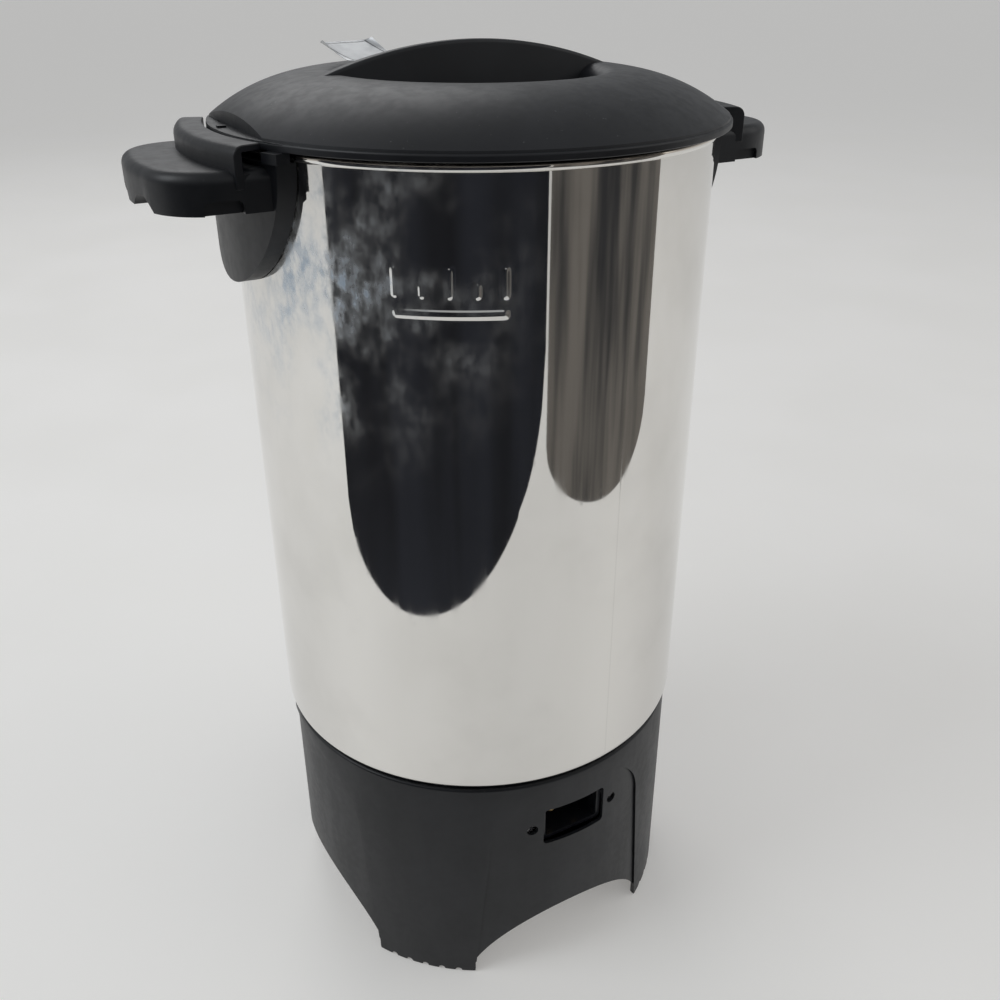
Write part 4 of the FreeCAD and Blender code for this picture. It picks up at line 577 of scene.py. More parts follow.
def worked(body: Mesh, tool: Mesh, how: Cut = Cut.TAKE_AWAY) -> Mesh:
    """Works one solid with another.

    Args:
        body: the solid that is kept.
        tool: the solid that cuts.
        how: what happens where they meet.

    Returns:
        The new mesh.
    """
    holders = [placed(part, "holder") for part in (body, tool)]
    step = holders[0].modifiers.new("cut", "BOOLEAN")
    step.operation = how.value
    step.solver = "EXACT"
    step.object = holders[1]
    bpy.context.view_layer.update()
    ready = bpy.context.evaluated_depsgraph_get()
    result = bpy.data.meshes.new_from_object(holders[0].evaluated_get(ready))
    made = bmesh.new()
    made.from_mesh(result)
    bpy.data.meshes.remove(result)
    for holder in holders:
        shape = holder.data
        bpy.data.objects.remove(holder)
        bpy.data.meshes.remove(shape)
    bmesh.ops.remove_doubles(made, verts=made.verts, dist=1e-6)
    return made


@dataclass(frozen=True)
class Edge:
    """How a piece's corners are rounded."""

    width_mm: float = 0.0
    segments: int = 2
    sharper_than: float = 38.0
    smooth_below: float = 34.0


def piece(made: Mesh, name: str, finish: Finish, body: Body, nodes: tuple[str, ...],
          edge: Edge = Edge()) -> bpy.types.Object:
    """Turns a mesh into one finished piece of the urn.

    Args:
        made: the mesh, in metres and in place.
        name: the piece's name.
        finish: its finish.
        body: the moving group that it rides on.
        nodes: the nodes that it stands for.
        edge: how its corners are rounded.

    Returns:
        The piece.
    """
    thing = placed(made, name)
    made.free()
    shape = thing.data
    shape.shade_smooth()
    shape.set_sharp_from_angle(angle=math.radians(edge.smooth_below))
    if edge.width_mm > 0:
        bevel = thing.modifiers.new("rounded", "BEVEL")
        bevel.width = edge.width_mm * MM
        bevel.segments = edge.segments
        bevel.limit_method = "ANGLE"
        bevel.angle_limit = math.radians(edge.sharper_than)
        bevel.harden_normals = True
    shape.materials.append(finish.material())
    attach(thing, body.value)
    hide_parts(*nodes)
    LOG.info("%s: %d faces", name, len(shape.polygons))
    return thing


def mended(node: str, name: str, finish: Finish, body: Body, edge: Edge = Edge()) -> bpy.types.Object:
    """A merged, smoothly shaded copy of a node's own shape, as its finished piece."""
    made = bmesh.new()
    made.from_mesh(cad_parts[node].data)
    bmesh.ops.remove_doubles(made, verts=made.verts, dist=1e-6)
    bmesh.ops.dissolve_limit(made, angle_limit=math.radians(0.6), verts=made.verts, edges=made.edges)
    return piece(made, name, finish, body, (node,), edge)


# The urn


@dataclass
class Vessel:
    """The polished drum with its rolled rim and raised level mark. Millimetres."""

    radius: float = 92.5
    wall: float = 1.3
    floor_z: float = 113.2
    rim_z: float = 365.4
    corner: float = 5.5
    well_r: float = 21.0
    well_floor_z: float = 104.2
    bead_r: float = 1.6
    bead_centre_r: float = 92.1
    mark_from: float = 45.8
    mark_to: float = 69.8
    mark_z: float = 319.3
    mark_half_h: float = 1.9
    raise_mm: float = 0.7
    tick_w: float = 1.6
    tick_low_z: float = 324.0
    tick_long: float = 11.0
    tick_short: float = 6.0
    ticks: int = 5
    soft: float = 2.3
    spread: float = 0.5
    fine_low: float = 312.0
    fine_high: float = 340.0
    fine_rows: int = 54
    fine_from: float = 43.5
    fine_to: float = 72.0
    fine_steps: int = 96
    plain_steps: int = 176

    def profile(self) -> Profile:
        """The drum's outline from the axis below, over the rim, to the axis inside."""
        in_r = self.radius - self.wall
        knee = self.radius - self.corner
        low = math.degrees(-math.acos((self.radius - self.bead_centre_r) / self.bead_r))
        high = 360.0 - math.degrees(math.acos((in_r - self.bead_centre_r) / self.bead_r))
        points = [(0.0, self.well_floor_z), (self.well_r, self.well_floor_z), (self.well_r, self.floor_z)]
        points += arc(knee, self.floor_z + self.corner, self.corner, -90.0, 0.0, 8)
        points += [(self.radius, z) for z in (150.0, 200.0, 250.0, 290.0)]
        points += [(self.radius, self.fine_low + (self.fine_high - self.fine_low) * row / self.fine_rows)
                   for row in range(self.fine_rows + 1)]
        points += arc(self.bead_centre_r, self.rim_z, self.bead_r, low, high, 16)
        points += arc(knee, self.floor_z + self.corner, self.corner - self.wall, 0.0, -90.0, 6)
        well_in, well_top = self.well_r - self.wall, self.well_floor_z + self.wall
        return points + [(well_in, self.floor_z + self.wall), (well_in, well_top), (0.0, well_top)]

    def hump(self, place: float, low: float, high: float) -> float:
        """A round crest: one in the middle of low and high, nothing a little outside."""
        half = (high - low) / 2.0 + self.spread
        side = min(half, self.soft)
        away = max(0.0, abs(place - (low + high) / 2.0) - half + side) / side
        return math.cos(math.pi / 2.0 * min(1.0, away)) ** 2

    def raised(self, angle: float, z: float) -> float:
        """How far the level mark lifts the wall at an angle and a height, in mm."""
        low, high = self.mark_z - self.mark_half_h, self.mark_z + self.mark_half_h
        marks = [(self.mark_from, self.mark_to, low, high)]
        spread = self.mark_to - self.mark_from - self.tick_w
        for step in range(self.ticks):
            start = self.mark_from + spread * step / (self.ticks - 1)
            height = self.tick_long if step % 2 == 0 else self.tick_short
            marks.append((start, start + self.tick_w, self.tick_low_z, self.tick_low_z + height))
        lifts = []
        for first, last, low, high in marks:
            along, start, end = [math.radians(a) * self.radius for a in (angle, first, last)]
            lifts.append(self.hump(along, start, end) * self.hump(z, low, high))
        return max(lifts) * self.raise_mm

    def build(self) -> None:
        """Makes the drum."""
        spans = [(self.fine_from, self.fine_to, self.fine_steps),
                 (self.fine_to, self.fine_from + 360.0, self.plain_steps)]
        made = spun(self.profile(), spans)
        for vert in made.verts:
            r = math.hypot(vert.co.x, vert.co.y) / MM
            z = vert.co.z / MM
            if abs(r - self.radius) < 0.02 and self.fine_low < z < self.fine_high:
                lift = self.raised(math.degrees(math.atan2(vert.co.y, vert.co.x)), z)
                vert.co.x *= (r + lift) / r
                vert.co.y *= (r + lift) / r
        piece(made, "vessel_drum", MIRROR, Body.URN, ("vessel",), Edge(smooth_below=50.0))


@dataclass
class Base:
    """The black stand with arched openings, notched feet and the inlet's openings. Millimetres."""

    radius: float = 91.0
    wall: float = 2.6
    foot_edge: float = 0.5
    top_z: float = 112.6
    top_edge: float = 1.2
    deck_z: float = 113.2
    deck_t: float = 3.2
    deck_hole_r: float = 62.5
    deck_edge_r: float = 86.8
    ledge_z: float = 42.5
    ledge_t: float = 3.0
    ledge_w: float = 5.4
    arch_half: float = 45.2
    arch_spring: float = 6.0
    arch_rise: float = 29.0
    arch_low_z: float = -3.0
    panel_depth: float = 1.0
    panel_low_z: float = -2.0
    panel_low_half: float = 45.6
    panel_half: float = 38.6
    panel_mid_z: float = 76.0
    panel_top_z: float = 109.0
    notch_r: float = 1.6
    notch_depth: float = 1.9
    notch_step: float = 5.07
    notches: int = 5
    rib_spread: float = 7.6
    rib_w: float = 9.0
    rib_half_t: float = 1.1
    rib_top_z: float = 37.8
    inlet_half_w: float = 15.5
    inlet_half_h: float = 9.75
    inlet_z: float = 85.25
    inlet_corner: float = 2.0
    screw_x: float = 20.5
    screw_hole_r: float = 2.5
    sleeve_r: float = 4.4
    sleeve_out: float = 7.0
    sleeve_t: float = 2.0
    lamp_z: float = 84.0
    lamp_hole_r: float = 4.6
    beyond: float = 6.0

    def shell(self) -> Mesh:
        """The round shell before anything is cut from it."""
        inner, under = self.radius - self.wall, self.deck_z - self.deck_t
        edge = self.top_edge
        outline = [(inner, 0.0), (self.radius - self.foot_edge, 0.0), (self.radius, self.foot_edge)]
        outline += [(self.radius, self.top_z - edge)]
        outline += arc(self.radius - edge, self.top_z - edge, edge, 0.0, 90.0, 4)[1:]
        outline += [(self.deck_edge_r + 1.0, self.top_z), (self.deck_edge_r, self.deck_z),
                    (self.deck_hole_r, self.deck_z), (self.deck_hole_r, under), (inner, under)]
        return spun(outline, [ROUND], closed=True)

    def opening(self) -> Profile:
        """The outline of one wide opening: upright sides under one round arc."""
        half, spring, rise = self.arch_half, self.arch_spring, self.arch_rise
        radius = (half ** 2 + rise ** 2) / (2.0 * rise)
        sweep = math.degrees(math.asin(half / radius))
        crown = arc(0.0, spring + rise - radius, radius, 90.0 - sweep, 90.0 + sweep, 64)
        return [(half, self.arch_low_z)] + crown + [(-half, self.arch_low_z)]

    def panels(self) -> Mesh:
        """What is taken away for the four shallow panels."""
        rise = self.panel_top_z - self.panel_mid_z
        outline = [(self.panel_low_half, self.panel_low_z)]
        outline += half_oval(self.panel_half, self.panel_mid_z, rise, 48)
        outline += [(-self.panel_low_half, self.panel_low_z)]
        drawn = prism(outline, Axis.X, self.radius - 40.0, self.radius + 10.0)
        ring = band(self.radius - self.panel_depth, self.radius + 4.0, -5.0, 120.0, ROUND)
        one = worked(ring, drawn, Cut.KEEP_COMMON)
        return joined([turned(one, 90.0 * side) for side in range(4)])

    def feet(self, reach: float) -> Mesh:
        """What is taken away for the notches under the four feet."""
        height = self.notch_depth - self.notch_r
        bit = rod(self.notch_r, Vector((self.radius - 14.0, 0, height)), Vector((reach, 0, height)), 32)
        middle = (self.notches - 1) / 2.0
        return joined([turned(bit, 45.0 + 90.0 * leg + (step - middle) * self.notch_step)
                       for leg in range(4) for step in range(self.notches)])

    def holes(self, inner: float, reach: float) -> Mesh:
        """What is taken away for the inlet, its two screws and the lamp."""
        inlet = block(Vector((-self.inlet_half_w, inner - self.rib_w, self.inlet_z - self.inlet_half_h)),
                      Vector((self.inlet_half_w, reach, self.inlet_z + self.inlet_half_h)))
        rounded(inlet, running(inlet, Axis.Y), self.inlet_corner, 5)
        deep = inner - self.beyond
        tools = [inlet]
        for x in (-self.screw_x, self.screw_x):
            start, end = Vector((x, deep, self.inlet_z)), Vector((x, reach, self.inlet_z))
            tools.append(rod(self.screw_hole_r, start, end))
        start, end = Vector((0, -reach, self.lamp_z)), Vector((0, -deep, self.lamp_z))
        tools.append(rod(self.lamp_hole_r, start, end))
        return joined(tools)

    def lining(self, inner: float) -> list[Mesh]:
        """The ribs, the ledge over the bottom plate and the two sunk screw seats."""
        rib = block(Vector((inner - self.rib_w, -self.rib_half_t, 0.05)),
                    Vector((inner + 1.0, self.rib_half_t, self.rib_top_z)))
        parts = [turned(rib, 45.0 + 90.0 * leg + spread)
                 for leg in range(4) for spread in (-self.rib_spread, self.rib_spread)]
        low = self.ledge_z - self.ledge_t
        parts.append(band(inner - self.ledge_w, inner + 0.5, low, self.ledge_z, HIDDEN_ROUND))
        far = self.radius - self.sleeve_out
        for x in (-self.screw_x, self.screw_x):
            start, end = Vector((x, far - self.sleeve_t, self.inlet_z)), Vector((x, far, self.inlet_z))
            parts.append(rod(self.sleeve_r, start, end, 32))
        return parts

    def build(self) -> None:
        """Makes the stand."""
        inner, reach = self.radius - self.wall, self.radius + self.beyond
        made = self.shell()
        tunnel = prism(self.opening(), Axis.X, -reach, reach)
        for tool in (tunnel, turned(tunnel, 90.0), self.panels(), self.feet(reach), self.holes(inner, reach)):
            made = worked(made, tool)
        made = joined([made] + self.lining(inner))
        piece(made, "base_stand", BLACK, Body.URN, ("base_housing",), Edge(0.7, 3, 32.0, 30.0))


@dataclass
class Lid:
    """The black lid: a rolled crest round a bowl, with a finger blade across it. Millimetres."""

    radius: float = 98.0
    under_z: float = 367.6
    flange_z: float = 370.2
    crest_r: float = 54.0
    crest_z: float = 385.5
    dome_r: float = 71.01
    wall: float = 2.5
    flat_x: float = 91.5
    flat_span: float = 22.0
    spigot_r: float = 89.4
    spigot_t: float = 2.0
    spigot_low: float = 362.0
    spigot_top: float = 372.0
    floor_z: float = 371.0
    roll_r: float = 8.0
    bowl_r: float = 8.0
    slope: float = 60.0
    lug_z: float = 364.0
    lug_from: float = 21.5
    lug_to: float = 25.5
    blade_z: float = 395.5
    blade_half: float = 60.0
    blade_in: float = 20.0
    blade_foot: float = 9.0
    blade_crown: float = 4.4
    blade_round: float = 1.3
    label_lift: float = 9.5
    label_bend: float = 0.8
    label_curl: float = 1.5
    label_round: float = 4.0
    label_t: float = 0.15

    def well(self, inset: float) -> Profile:
        """The bowl's outline from the axis out to the crest, moved into the plastic by an inset."""
        roll = self.roll_r - inset
        bowl = self.bowl_r + inset
        slope = math.radians(self.slope)
        roll_z = self.crest_z - self.roll_r
        bowl_z = self.floor_z + self.bowl_r
        run = self.roll_r + self.bowl_r - math.cos(slope) * (bowl_z - roll_z)
        bowl_centre = self.crest_r - run / math.sin(slope)
        points = [(0.0, self.floor_z - inset)]
        points += arc(bowl_centre, bowl_z, bowl, -90.0, -90.0 + self.slope, 10)
        points += arc(self.crest_r, roll_z, roll, 90.0 + self.slope, 90.0, 12)
        return points

    def dome_z(self, r: float) -> float:
        """The dome's height at a distance from the axis."""
        return self.crest_z - self.dome_r + math.sqrt(self.dome_r ** 2 - (r - self.crest_r) ** 2)

    def shell(self) -> Mesh:
        """The lid's shell, outside and inside."""
        centre_z = self.crest_z - self.dome_r
        edge_r = self.radius - 1.0
        low = math.degrees(math.acos((edge_r - self.crest_r) / self.dome_r))
        points = self.well(0.0)
        points += arc(self.crest_r, centre_z, self.dome_r, 90.0, low, 40)[1:]
        points += arc(self.radius - 0.8, self.flange_z - 0.8, 0.8, 90.0, 0.0, 4)
        points += [(self.radius, self.under_z + 0.3), (self.radius - 0.3, self.under_z)]
        inner_r = self.radius - 3.4
        inner_dome = self.dome_r - self.wall
        inner_low = math.degrees(math.acos((inner_r - self.crest_r) / inner_dome))
        points += [(inner_r, self.under_z)]
        points += arc(self.crest_r, centre_z, inner_dome, inner_low, 90.0, 24)
        points += list(reversed(self.well(self.wall)))[1:]
        return spun(points, [ROUND])

    def flats(self) -> list[Mesh]:
        """The two stepped flats beside the handles: their walls, floors, marks and locking lugs."""
        reach = math.sqrt((self.radius - 1.2) ** 2 - self.flat_x ** 2)
        back = self.flat_x - self.wall - 0.1
        outline = [(-reach, self.under_z + 0.2)]
        for step in range(33):
            y = reach * (2.0 * step / 32 - 1.0)
            outline.append((y, self.dome_z(math.hypot(self.flat_x, y)) - 0.3))
        outline.append((reach, self.under_z + 0.2))
        wall = prism(outline, Axis.X, back, back + self.wall)
        floor = band(self.flat_x - 3.5, self.radius - 0.15, self.under_z, self.flange_z - 0.08,
                     (-self.flat_span, self.flat_span, 44))
        mark = block(Vector((self.flat_x + 2.0, -3.6, self.flange_z - 0.2)),
                     Vector((self.radius - 1.4, -1.8, self.flange_z + 0.7)))
        inner, outer, neck = self.radius - 3.0, self.radius + 2.9, self.radius - 0.1
        low, ledge, top = self.lug_z, self.lug_z + 3.4, self.lug_z + 6.0
        lug = spun([(inner, low), (outer, low), (outer, ledge), (neck, ledge), (neck, top), (inner, top)],
                   [(self.lug_from, self.lug_to, 8)], closed=True)
        parts = [wall, floor, mark, lug]
        return [turned(part, side) for part in parts for side in (0.0, 180.0)]

    def blade(self) -> Mesh:
        """The arched blade, thinner at its crown."""
        spring = self.crest_z - 0.6
        rise = self.blade_z - spring
        arch_r = (self.blade_half ** 2 + rise ** 2) / (2.0 * rise)
        sweep = math.degrees(math.asin(self.blade_half / arch_r))
        crown = arc(0.0, self.blade_z - arch_r, arch_r, 90.0 + sweep, 90.0 - sweep, 72)
        low = self.floor_z - 0.6
        foot_x = self.blade_half - self.blade_in
        outline = crown + [(foot_x, low), (-foot_x, low)]
        made = prism(outline, Axis.Y, -self.blade_foot / 2, self.blade_foot / 2)
        for vert in made.verts:
            up = min(1.0, max(0.0, (vert.co.z / MM - low) / (self.blade_z - low)))
            half = (self.blade_foot + (self.blade_crown - self.blade_foot) * up) / 2
            vert.co.y = math.copysign(half * MM, vert.co.y)
        top = [e for e in made.edges if abs(e.verts[0].co.y - e.verts[1].co.y) < 1e-4
               and min(v.co.z for v in e.verts) / MM > spring - 0.2 and e.calc_length() / MM < 4.0]
        rounded(made, top, self.blade_round, 4)
        return made

    def label(self) -> None:
        """The bare foil label on the far slope, its outer end peeled up."""
        made = bmesh.new()
        cell = bmesh.ops.create_grid(made, x_segments=24, y_segments=24, size=0.5)
        for vert in cell["verts"]:
            across = vert.co.x
            along = vert.co.y + 0.5
            end = self.label_round * (1.0 - math.sqrt(max(0.0, 1.0 - (2.0 * across) ** 8)))
            r = LABEL_OUTER - end - (LABEL_OUTER - LABEL_INNER - 2.0 * end) * along
            turn = math.radians(LABEL_TURN) + across * LABEL_W / r
            lift = self.label_lift * max(0.0, (self.label_bend - along) / self.label_bend) ** self.label_curl
            z = self.dome_z(max(r, self.crest_r)) + self.label_t + lift
            vert.co = Vector((r * math.cos(turn), r * math.sin(turn), z)) * MM
        bmesh.ops.solidify(made, geom=made.faces, thickness=self.label_t * MM)
        bmesh.ops.recalc_face_normals(made, faces=made.faces)
        piece(made, "lid_label", LABEL, Body.LID, ("lid_sticker",), Edge(smooth_below=40.0))

    def build(self) -> None:
        """Makes the lid."""
        made = self.shell()
        over = self.blade_z + 10.0
        trims = [block(Vector((self.flat_x, -60.0, self.flange_z)), Vector((120.0, 60.0, over))),
                 block(Vector((-120.0, -60.0, self.flange_z)), Vector((-self.flat_x, 60.0, over)))]
        made = worked(made, joined(trims))
        spigot = band(self.spigot_r - self.spigot_t, self.spigot_r, self.spigot_low, self.spigot_top,
                      HIDDEN_ROUND)
        made = joined([made, spigot] + self.flats())
        piece(made, "lid_shell", BLACK, Body.LID, ("lid",), Edge(smooth_below=32.0))
        self.label()
        piece(self.blade(), "lid_blade", BLACK, Body.LID, ("lid",), Edge(smooth_below=40.0))


@dataclass
class SideHandle:
    """A side handle: a tongue on the drum, a collar round the lid's edge and the grip. Millimetres."""

    plate_in: float = 92.9
    plate_out: float = 98.8
    tongue_half: float = 40.3
    tongue_drop: float = 45.5
    top_z: float = 364.0
    collar_in: float = 99.3
    collar_out: float = 109.5
    collar_half: float = 20.3
    collar_z: float = 370.0
    shoulder: float = 3.6
    reach: float = 127.3
    bulge: float = 1.5
    half_w: float = 37.0
    corner: float = 22.0
    back_x: float = 86.0
    top_round: float = 4.0
    pocket_corner: float = 12.0
    cut_end: float = 14.0
    cut_top: float = 4.5
    cut_round: float = 2.2
    grip_top: float = 362.5
    grip_low: float = 349.0
    grip_wall: float = 5.5
    roof: float = 4.0
    root_x: float = 106.0
    groove_r: float = 11.0
    groove_y: float = 13.0
    slot_out: float = 106.3
    slot_low: float = 361.3
    slot_top: float = 367.8
    slot_from: float = 7.0
    slot_to: float = 30.0

    def tongue(self) -> Mesh:
        """The shield-shaped tongue that lies on the drum."""
        outline = half_oval(self.tongue_half, self.top_z, -self.tongue_drop, 64)
        shape = prism(outline[-1:] + outline[:-1], Axis.X, 60.0, 120.0)
        ring = band(self.plate_in, self.plate_out, 300.0, self.top_z, ROUND)
        return worked(ring, shape, Cut.KEEP_COMMON)

    def blank(self) -> Mesh:
        """The grip's outer form, its upper edge rounded."""
        far, inner = self.reach - self.corner, self.half_w - self.corner
        outline = [(self.back_x, -self.half_w)] + arc(far, -inner, self.corner, -90.0, 0.0, 12)
        for step in range(1, 12):
            side = 2.0 * step / 12 - 1.0
            outline.append((self.reach + self.bulge * (1.0 - side ** 2), inner * side))
        outline += arc(far, inner, self.corner, 0.0, 90.0, 12) + [(self.back_x, self.half_w)]
        made = prism(outline, Axis.Z, self.grip_low, self.grip_top)
        top = [e for e in made.edges if min(v.co.z for v in e.verts) / MM > self.grip_top - 0.01
               and max(v.co.x for v in e.verts) / MM > self.back_x + 0.1]
        rounded(made, top, self.top_round, 7)
        return made

    def grip(self) -> Mesh:
        """The grip: a rounded tray turned upside down, with finger grooves on its outer edge."""
        wall, crest = self.grip_wall, self.grip_low + self.cut_top
        pocket = block(Vector((self.root_x, -self.half_w + wall, self.grip_low - 5.0)),
                       Vector((self.reach - wall, self.half_w - wall, self.grip_top - self.roof)))
        upright = [e for e in running(pocket, Axis.Z) if e.verts[0].co.x / MM > self.root_x + 1.0]
        rounded(pocket, upright, self.pocket_corner, 8)
        groove_z = crest - self.groove_r
        grooves = [rod(self.groove_r, Vector((self.reach - wall - 4.0, y, groove_z)),
                       Vector((self.reach + 4.0, y, groove_z)), 64)
                   for y in (-self.groove_y, self.groove_y)]
        sides = []
        for y in (-self.half_w, self.half_w):
            side = block(Vector((self.plate_out + 2.0, y - 3.0, self.grip_low - 8.0)),
                         Vector((self.reach - self.cut_end, y + 3.0, crest)))
            crown = [e for e in running(side, Axis.Y) if e.verts[0].co.z / MM > self.grip_low]
            rounded(side, crown, self.cut_round, 5)
            sides.append(side)
        foot, head = Vector((0, 0, self.grip_low - 9.0)), Vector((0, 0, self.collar_z))
        drum = rod(self.plate_in + 0.1, foot, head, 240)
        made = self.blank()
        for tool in (pocket, joined(grooves), joined(sides), drum):
            made = worked(made, tool)
        return made

    def collar(self) -> Mesh:
        """The raised collar that the lid's lug turns into."""
        made = band(self.collar_in, self.collar_out, self.grip_top - 6.0, self.collar_z,
                    (-self.collar_half, self.collar_half, 60))
        shoulder = [e for e in made.edges if min(v.co.z for v in e.verts) / MM > self.collar_z - 0.01
                    and min(math.hypot(v.co.x, v.co.y) for v in e.verts) / MM > self.collar_out - 0.05]
        rounded(made, shoulder, self.shoulder, 6)
        slot = band(self.plate_in - 1.0, self.slot_out, self.slot_low, self.slot_top,
                    (self.slot_from, self.slot_to, 30))
        return worked(made, slot)

    def build(self) -> None:
        """Makes both handles."""
        for node, side in (("handle_right", 0.0), ("handle_left", 180.0)):
            parts = (("_tongue", self.tongue(), 1.0), ("_grip", self.grip(), 0.9),
                     ("_collar", self.collar(), 1.1))
            for ending, made, width in parts:
                edge = Edge(width, 3, 40.0, 34.0)
                piece(turned(made, side), node + ending, BLACK, Body.URN, (node,), edge)


class Fittings:
    """Pieces whose own shape is right: each gets its finish, and the showy ones a smooth copy."""

    def build(self) -> None:
        """Dresses the tap, the gauge, the brewing set and what the stand holds."""
        soft = Edge(0.35, 2, 40.0, 34.0)
        fine = Edge(smooth_below=34.0)
        smoothed = (
            ("tap_body", "tap_casting", BLACK, Body.URN, fine),
            ("tap_bonnet", "tap_cap", BLACK, Body.URN, fine),
            ("tap_lever", "tap_handle", GLOSS_BLACK, Body.LEVER, soft),
            ("gauge_guard", "gauge_cover", BLACK, Body.URN, soft),
            ("gauge_cap", "gauge_top_cap", BLACK, Body.URN, fine),
            ("gauge_glass", "gauge_tube", GLASS, Body.URN, fine),
            ("indicator_lens", "lamp_window", LENS, Body.URN, fine),
            ("inlet_block", "inlet_insert", GLOSS_BLACK, Body.URN, fine),
            ("inlet_pins", "inlet_prongs", BRASS, Body.URN, fine),
            ("pump_stem", "pump_tube", BREW, Body.BREWING, fine),
            ("pump_foot", "pump_bell", BREW, Body.BREWING, fine),
            ("brew_basket", "grounds_basket", BREW, Body.BREWING, fine),
            ("basket_cover", "spreader_cover", BREW, Body.COVER, fine),
        )
        for node, name, finish, body, edge in smoothed:
            mended(node, name, finish, body, edge)
        plain = {
            PLATED: ("centre_stud", "centre_washer", "centre_nut", "shield_screws", "inlet_screws",
                     "fuse_clip", "handle_screws", "gauge_screw", "tap_spring", "lever_pin", "element_pins",
                     "bottom_plate", "heat_shield"),
            CAST: ("heater_plate",),
            ELEMENT: ("heating_element", "keep_warm_element"),
            CERAMIC: ("thermostat", "thermal_fuse"),
            LAMP: ("indicator_lamp",),
            SLEEVE: ("wiring",),
            RUBBER: ("handle_seals", "tap_outer_washer", "tap_inner_washer", "tap_seat_cup", "gauge_gasket",
                     "gauge_screw_seal"),
            GLOSS_BLACK: ("tap_nut", "tap_stem"),
            BREW: ("pump_valve",),
        }
        for finish, names in plain.items():
            for name in names:
                self.paint(name, finish)

    def paint(self, name: str, finish: Finish) -> None:
        """Gives a node of the frame its finish."""
        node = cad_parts[name]
        if not node.material_slots:
            node.data.materials.append(finish.material())
        for holder in node.material_slots:
            holder.material = finish.material()
        LOG.info("%s: %s", name, finish.name)


# The room


@dataclass(frozen=True)
class SoftLight:
    """A large soft light."""

    name: str
    place: tuple[float, float, float]
    size: float
    power: float
    colour: tuple[float, float, float] = (1.0, 1.0, 1.0)

    def build(self) -> None:
        """Hangs the light so that it faces the urn's middle."""
        lamp = bpy.data.lights.new(self.name, "AREA")
        lamp.shape = "DISK"
        lamp.size = self.size
        lamp.energy = self.power
        lamp.color = self.colour
        holder = bpy.data.objects.new(self.name, lamp)
        aim = Vector((0.0, 0.0, 0.2)) - Vector(self.place)
        turn = aim.to_track_quat("-Z", "Y").to_matrix().to_4x4()
        holder.matrix_world = Matrix.Translation(self.place) @ turn
        bpy.context.scene.collection.objects.link(holder)


def staged(made: Mesh, name: str, sheet: Sheet) -> bpy.types.Object:
    """Stands a mesh in the room with its own material, and returns its object."""
    thing = placed(made, name)
    thing.data.materials.append(sheet.material)
    return thing


@dataclass(frozen=True)
class Screen:
    """A curved sheet that only reflections show, with its lower edge cut round. Metres."""

    name: str
    span: tuple[float, float]
    low: float
    lowest: float
    rise: tuple[float, float]
    dark: Colour
    pale: Colour
    folds: float
    radius: float = 0.38
    top: float = 0.46

    def build(self) -> None:
        """Stands the sheet round the camera's side."""
        made = bmesh.new()
        cell = bmesh.ops.create_grid(made, x_segments=72, y_segments=24, size=0.5)
        for vert in cell["verts"]:
            along = vert.co.x + 0.5
            up = vert.co.y + 0.5
            angle = math.radians(self.span[0] + (self.span[1] - self.span[0]) * along)
            ahead = along >= self.lowest
            side = abs(along - self.lowest) / (1.0 - self.lowest if ahead else self.lowest)
            cut = self.rise[ahead] * (1.0 - math.sqrt(max(0.0, 1.0 - side ** 2)))
            vert.co = (self.radius * math.cos(angle), self.radius * math.sin(angle),
                       self.low + cut + (self.top - self.low - cut) * up)
        sheet = Sheet(self.name + "_cloth")
        fold = sheet.ranged(sheet.noise(self.folds, stretch=(1.0, 1.0, 0.2)), 0.35, 0.65)
        sheet.surface(Base_Color=sheet.blend(fold, self.dark, self.pale), Roughness=0.9)
        screen = staged(made, self.name, sheet)
        screen.visible_camera = False
        screen.visible_diffuse = False
        screen.visible_transmission = False
        screen.visible_shadow = False


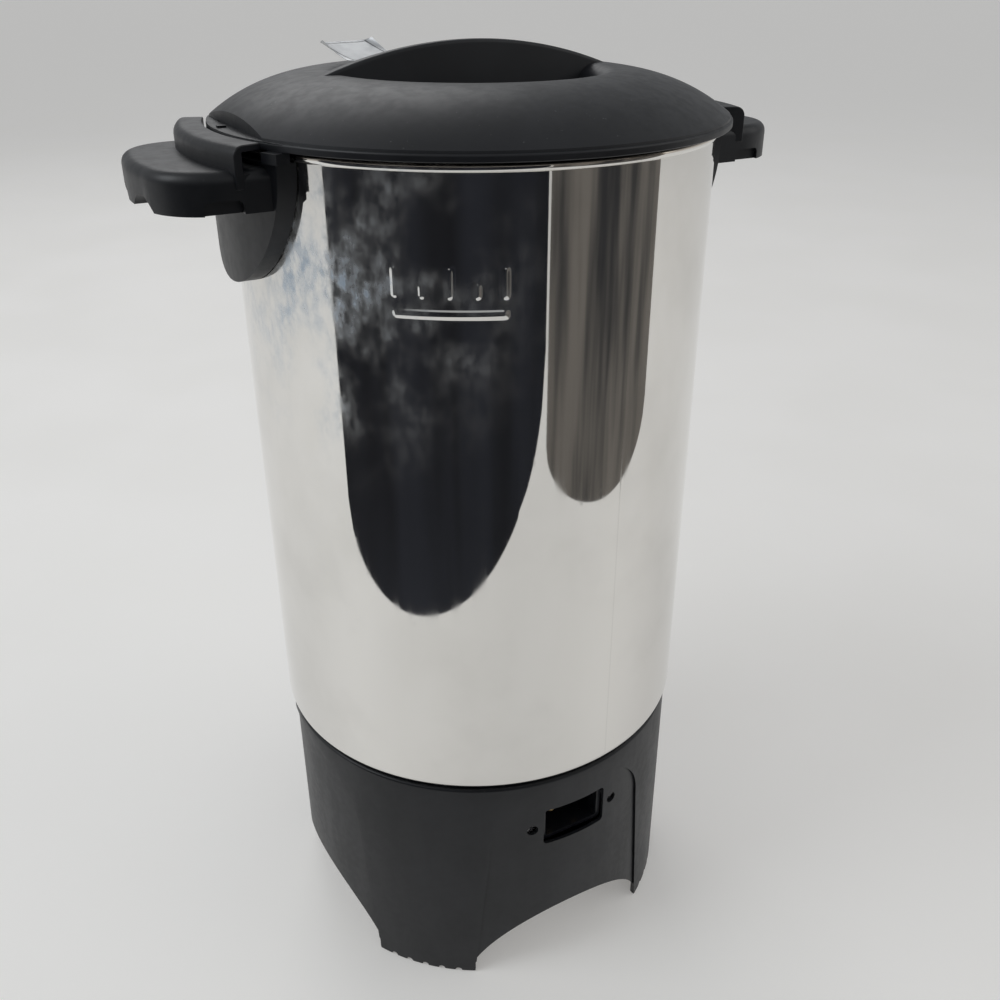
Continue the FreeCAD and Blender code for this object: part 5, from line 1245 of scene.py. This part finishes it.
@dataclass
class Room:
    """The plain pale floor, the soft lights, the reflected screens and the camera."""

    distance: float = 0.41188
    height: float = 0.42116
    heading: float = 152.7
    pitch: float = 0.48095
    yaw: float = 0.03801
    roll: float = 0.00267
    lens: float = 36.70
    shift: tuple[float, float] = (-0.01156, -0.00777)

    def floor(self) -> None:
        """Lays the floor."""
        made = bmesh.new()
        bmesh.ops.create_grid(made, x_segments=2, y_segments=2, size=40.0)
        sheet = Sheet("pale_floor_paint")
        patches = sheet.ranged(sheet.noise(5.0, 5.0), 0.3, 0.7)
        sheet.surface(Base_Color=sheet.blend(patches, (0.785, 0.775, 0.755, 1.0), (0.81, 0.80, 0.785, 1.0)),
                      Roughness=sheet.ranged(patches, 0.0, 1.0, 0.42, 0.52),
                      Emission_Color=(0.82, 0.80, 0.77, 1.0), Emission_Strength=0.24)
        staged(made, "pale_floor", sheet)

    def air(self) -> None:
        """Fills the room with pale light."""
        world = bpy.data.worlds.new("pale_room")
        world.use_nodes = True
        light = world.node_tree.nodes["Background"]
        light.inputs["Color"].default_value = (0.86, 0.88, 0.90, 1.0)
        light.inputs["Strength"].default_value = 0.42
        bpy.context.scene.world = world

    def camera(self) -> None:
        """Sets the camera where the photograph was taken from."""
        turn = Matrix.Rotation(math.radians(self.heading), 3, "Z")
        level = math.cos(self.pitch)
        ahead = turn @ Vector((math.sin(self.yaw) * level, math.cos(self.yaw) * level, -math.sin(self.pitch)))
        side = ahead.cross(Vector((0, 0, 1))).normalized()
        over = side.cross(ahead)
        cosine, sine = math.cos(self.roll), math.sin(self.roll)
        right = side * cosine + over * sine
        up = over * cosine - side * sine
        place = turn @ Vector((0.0, -self.distance, self.height))
        eye = bpy.data.cameras.new("photo_camera")
        eye.lens = self.lens
        eye.sensor_width = 36.0
        eye.shift_x, eye.shift_y = self.shift
        eye.clip_start = 0.01
        holder = bpy.data.objects.new("photo_camera", eye)
        frame_axes = Matrix((right, up, -ahead)).transposed().to_4x4()
        holder.matrix_world = Matrix.Translation(place) @ frame_axes
        bpy.context.scene.collection.objects.link(holder)
        bpy.context.scene.camera = holder

    def build(self) -> None:
        """Sets up the room."""
        self.floor()
        Screen("dark_flag", span=(2.0, 92.0), low=0.002, lowest=0.36, rise=(0.085, 0.20),
               dark=(0.006, 0.007, 0.012, 1.0), pale=(0.020, 0.023, 0.034, 1.0), folds=7.0).build()
        Screen("side_flag", span=(93.0, 145.0), low=0.085, lowest=0.5, rise=(0.05, 0.07),
               dark=(0.035, 0.035, 0.038, 1.0), pale=(0.23, 0.21, 0.19, 1.0), folds=16.0).build()
        self.air()
        self.camera()
        lights = (
            SoftLight("window_light", place=(1.35, -0.25, 1.45), size=1.1, power=9.0,
                      colour=(0.93, 0.97, 1.0)),
            SoftLight("fill_light", place=(-1.5, 0.9, 1.3), size=1.6, power=4.5, colour=(1.0, 0.985, 0.96)),
            SoftLight("back_light", place=(-0.3, -1.6, 1.5), size=1.2, power=5.0),
        )
        for light in lights:
            light.build()
        bpy.context.scene.view_settings.view_transform = "Standard"


def main() -> None:
    """Builds the urn's pieces in order, then the room."""
    logging.basicConfig(level=logging.INFO)
    for assembly in (Base(), Vessel(), SideHandle(), Lid(), Fittings()):
        LOG.info("building %s", type(assembly).__name__)
        assembly.build()
    Room().build()
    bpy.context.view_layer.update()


if __name__ == "__main__":
    main()
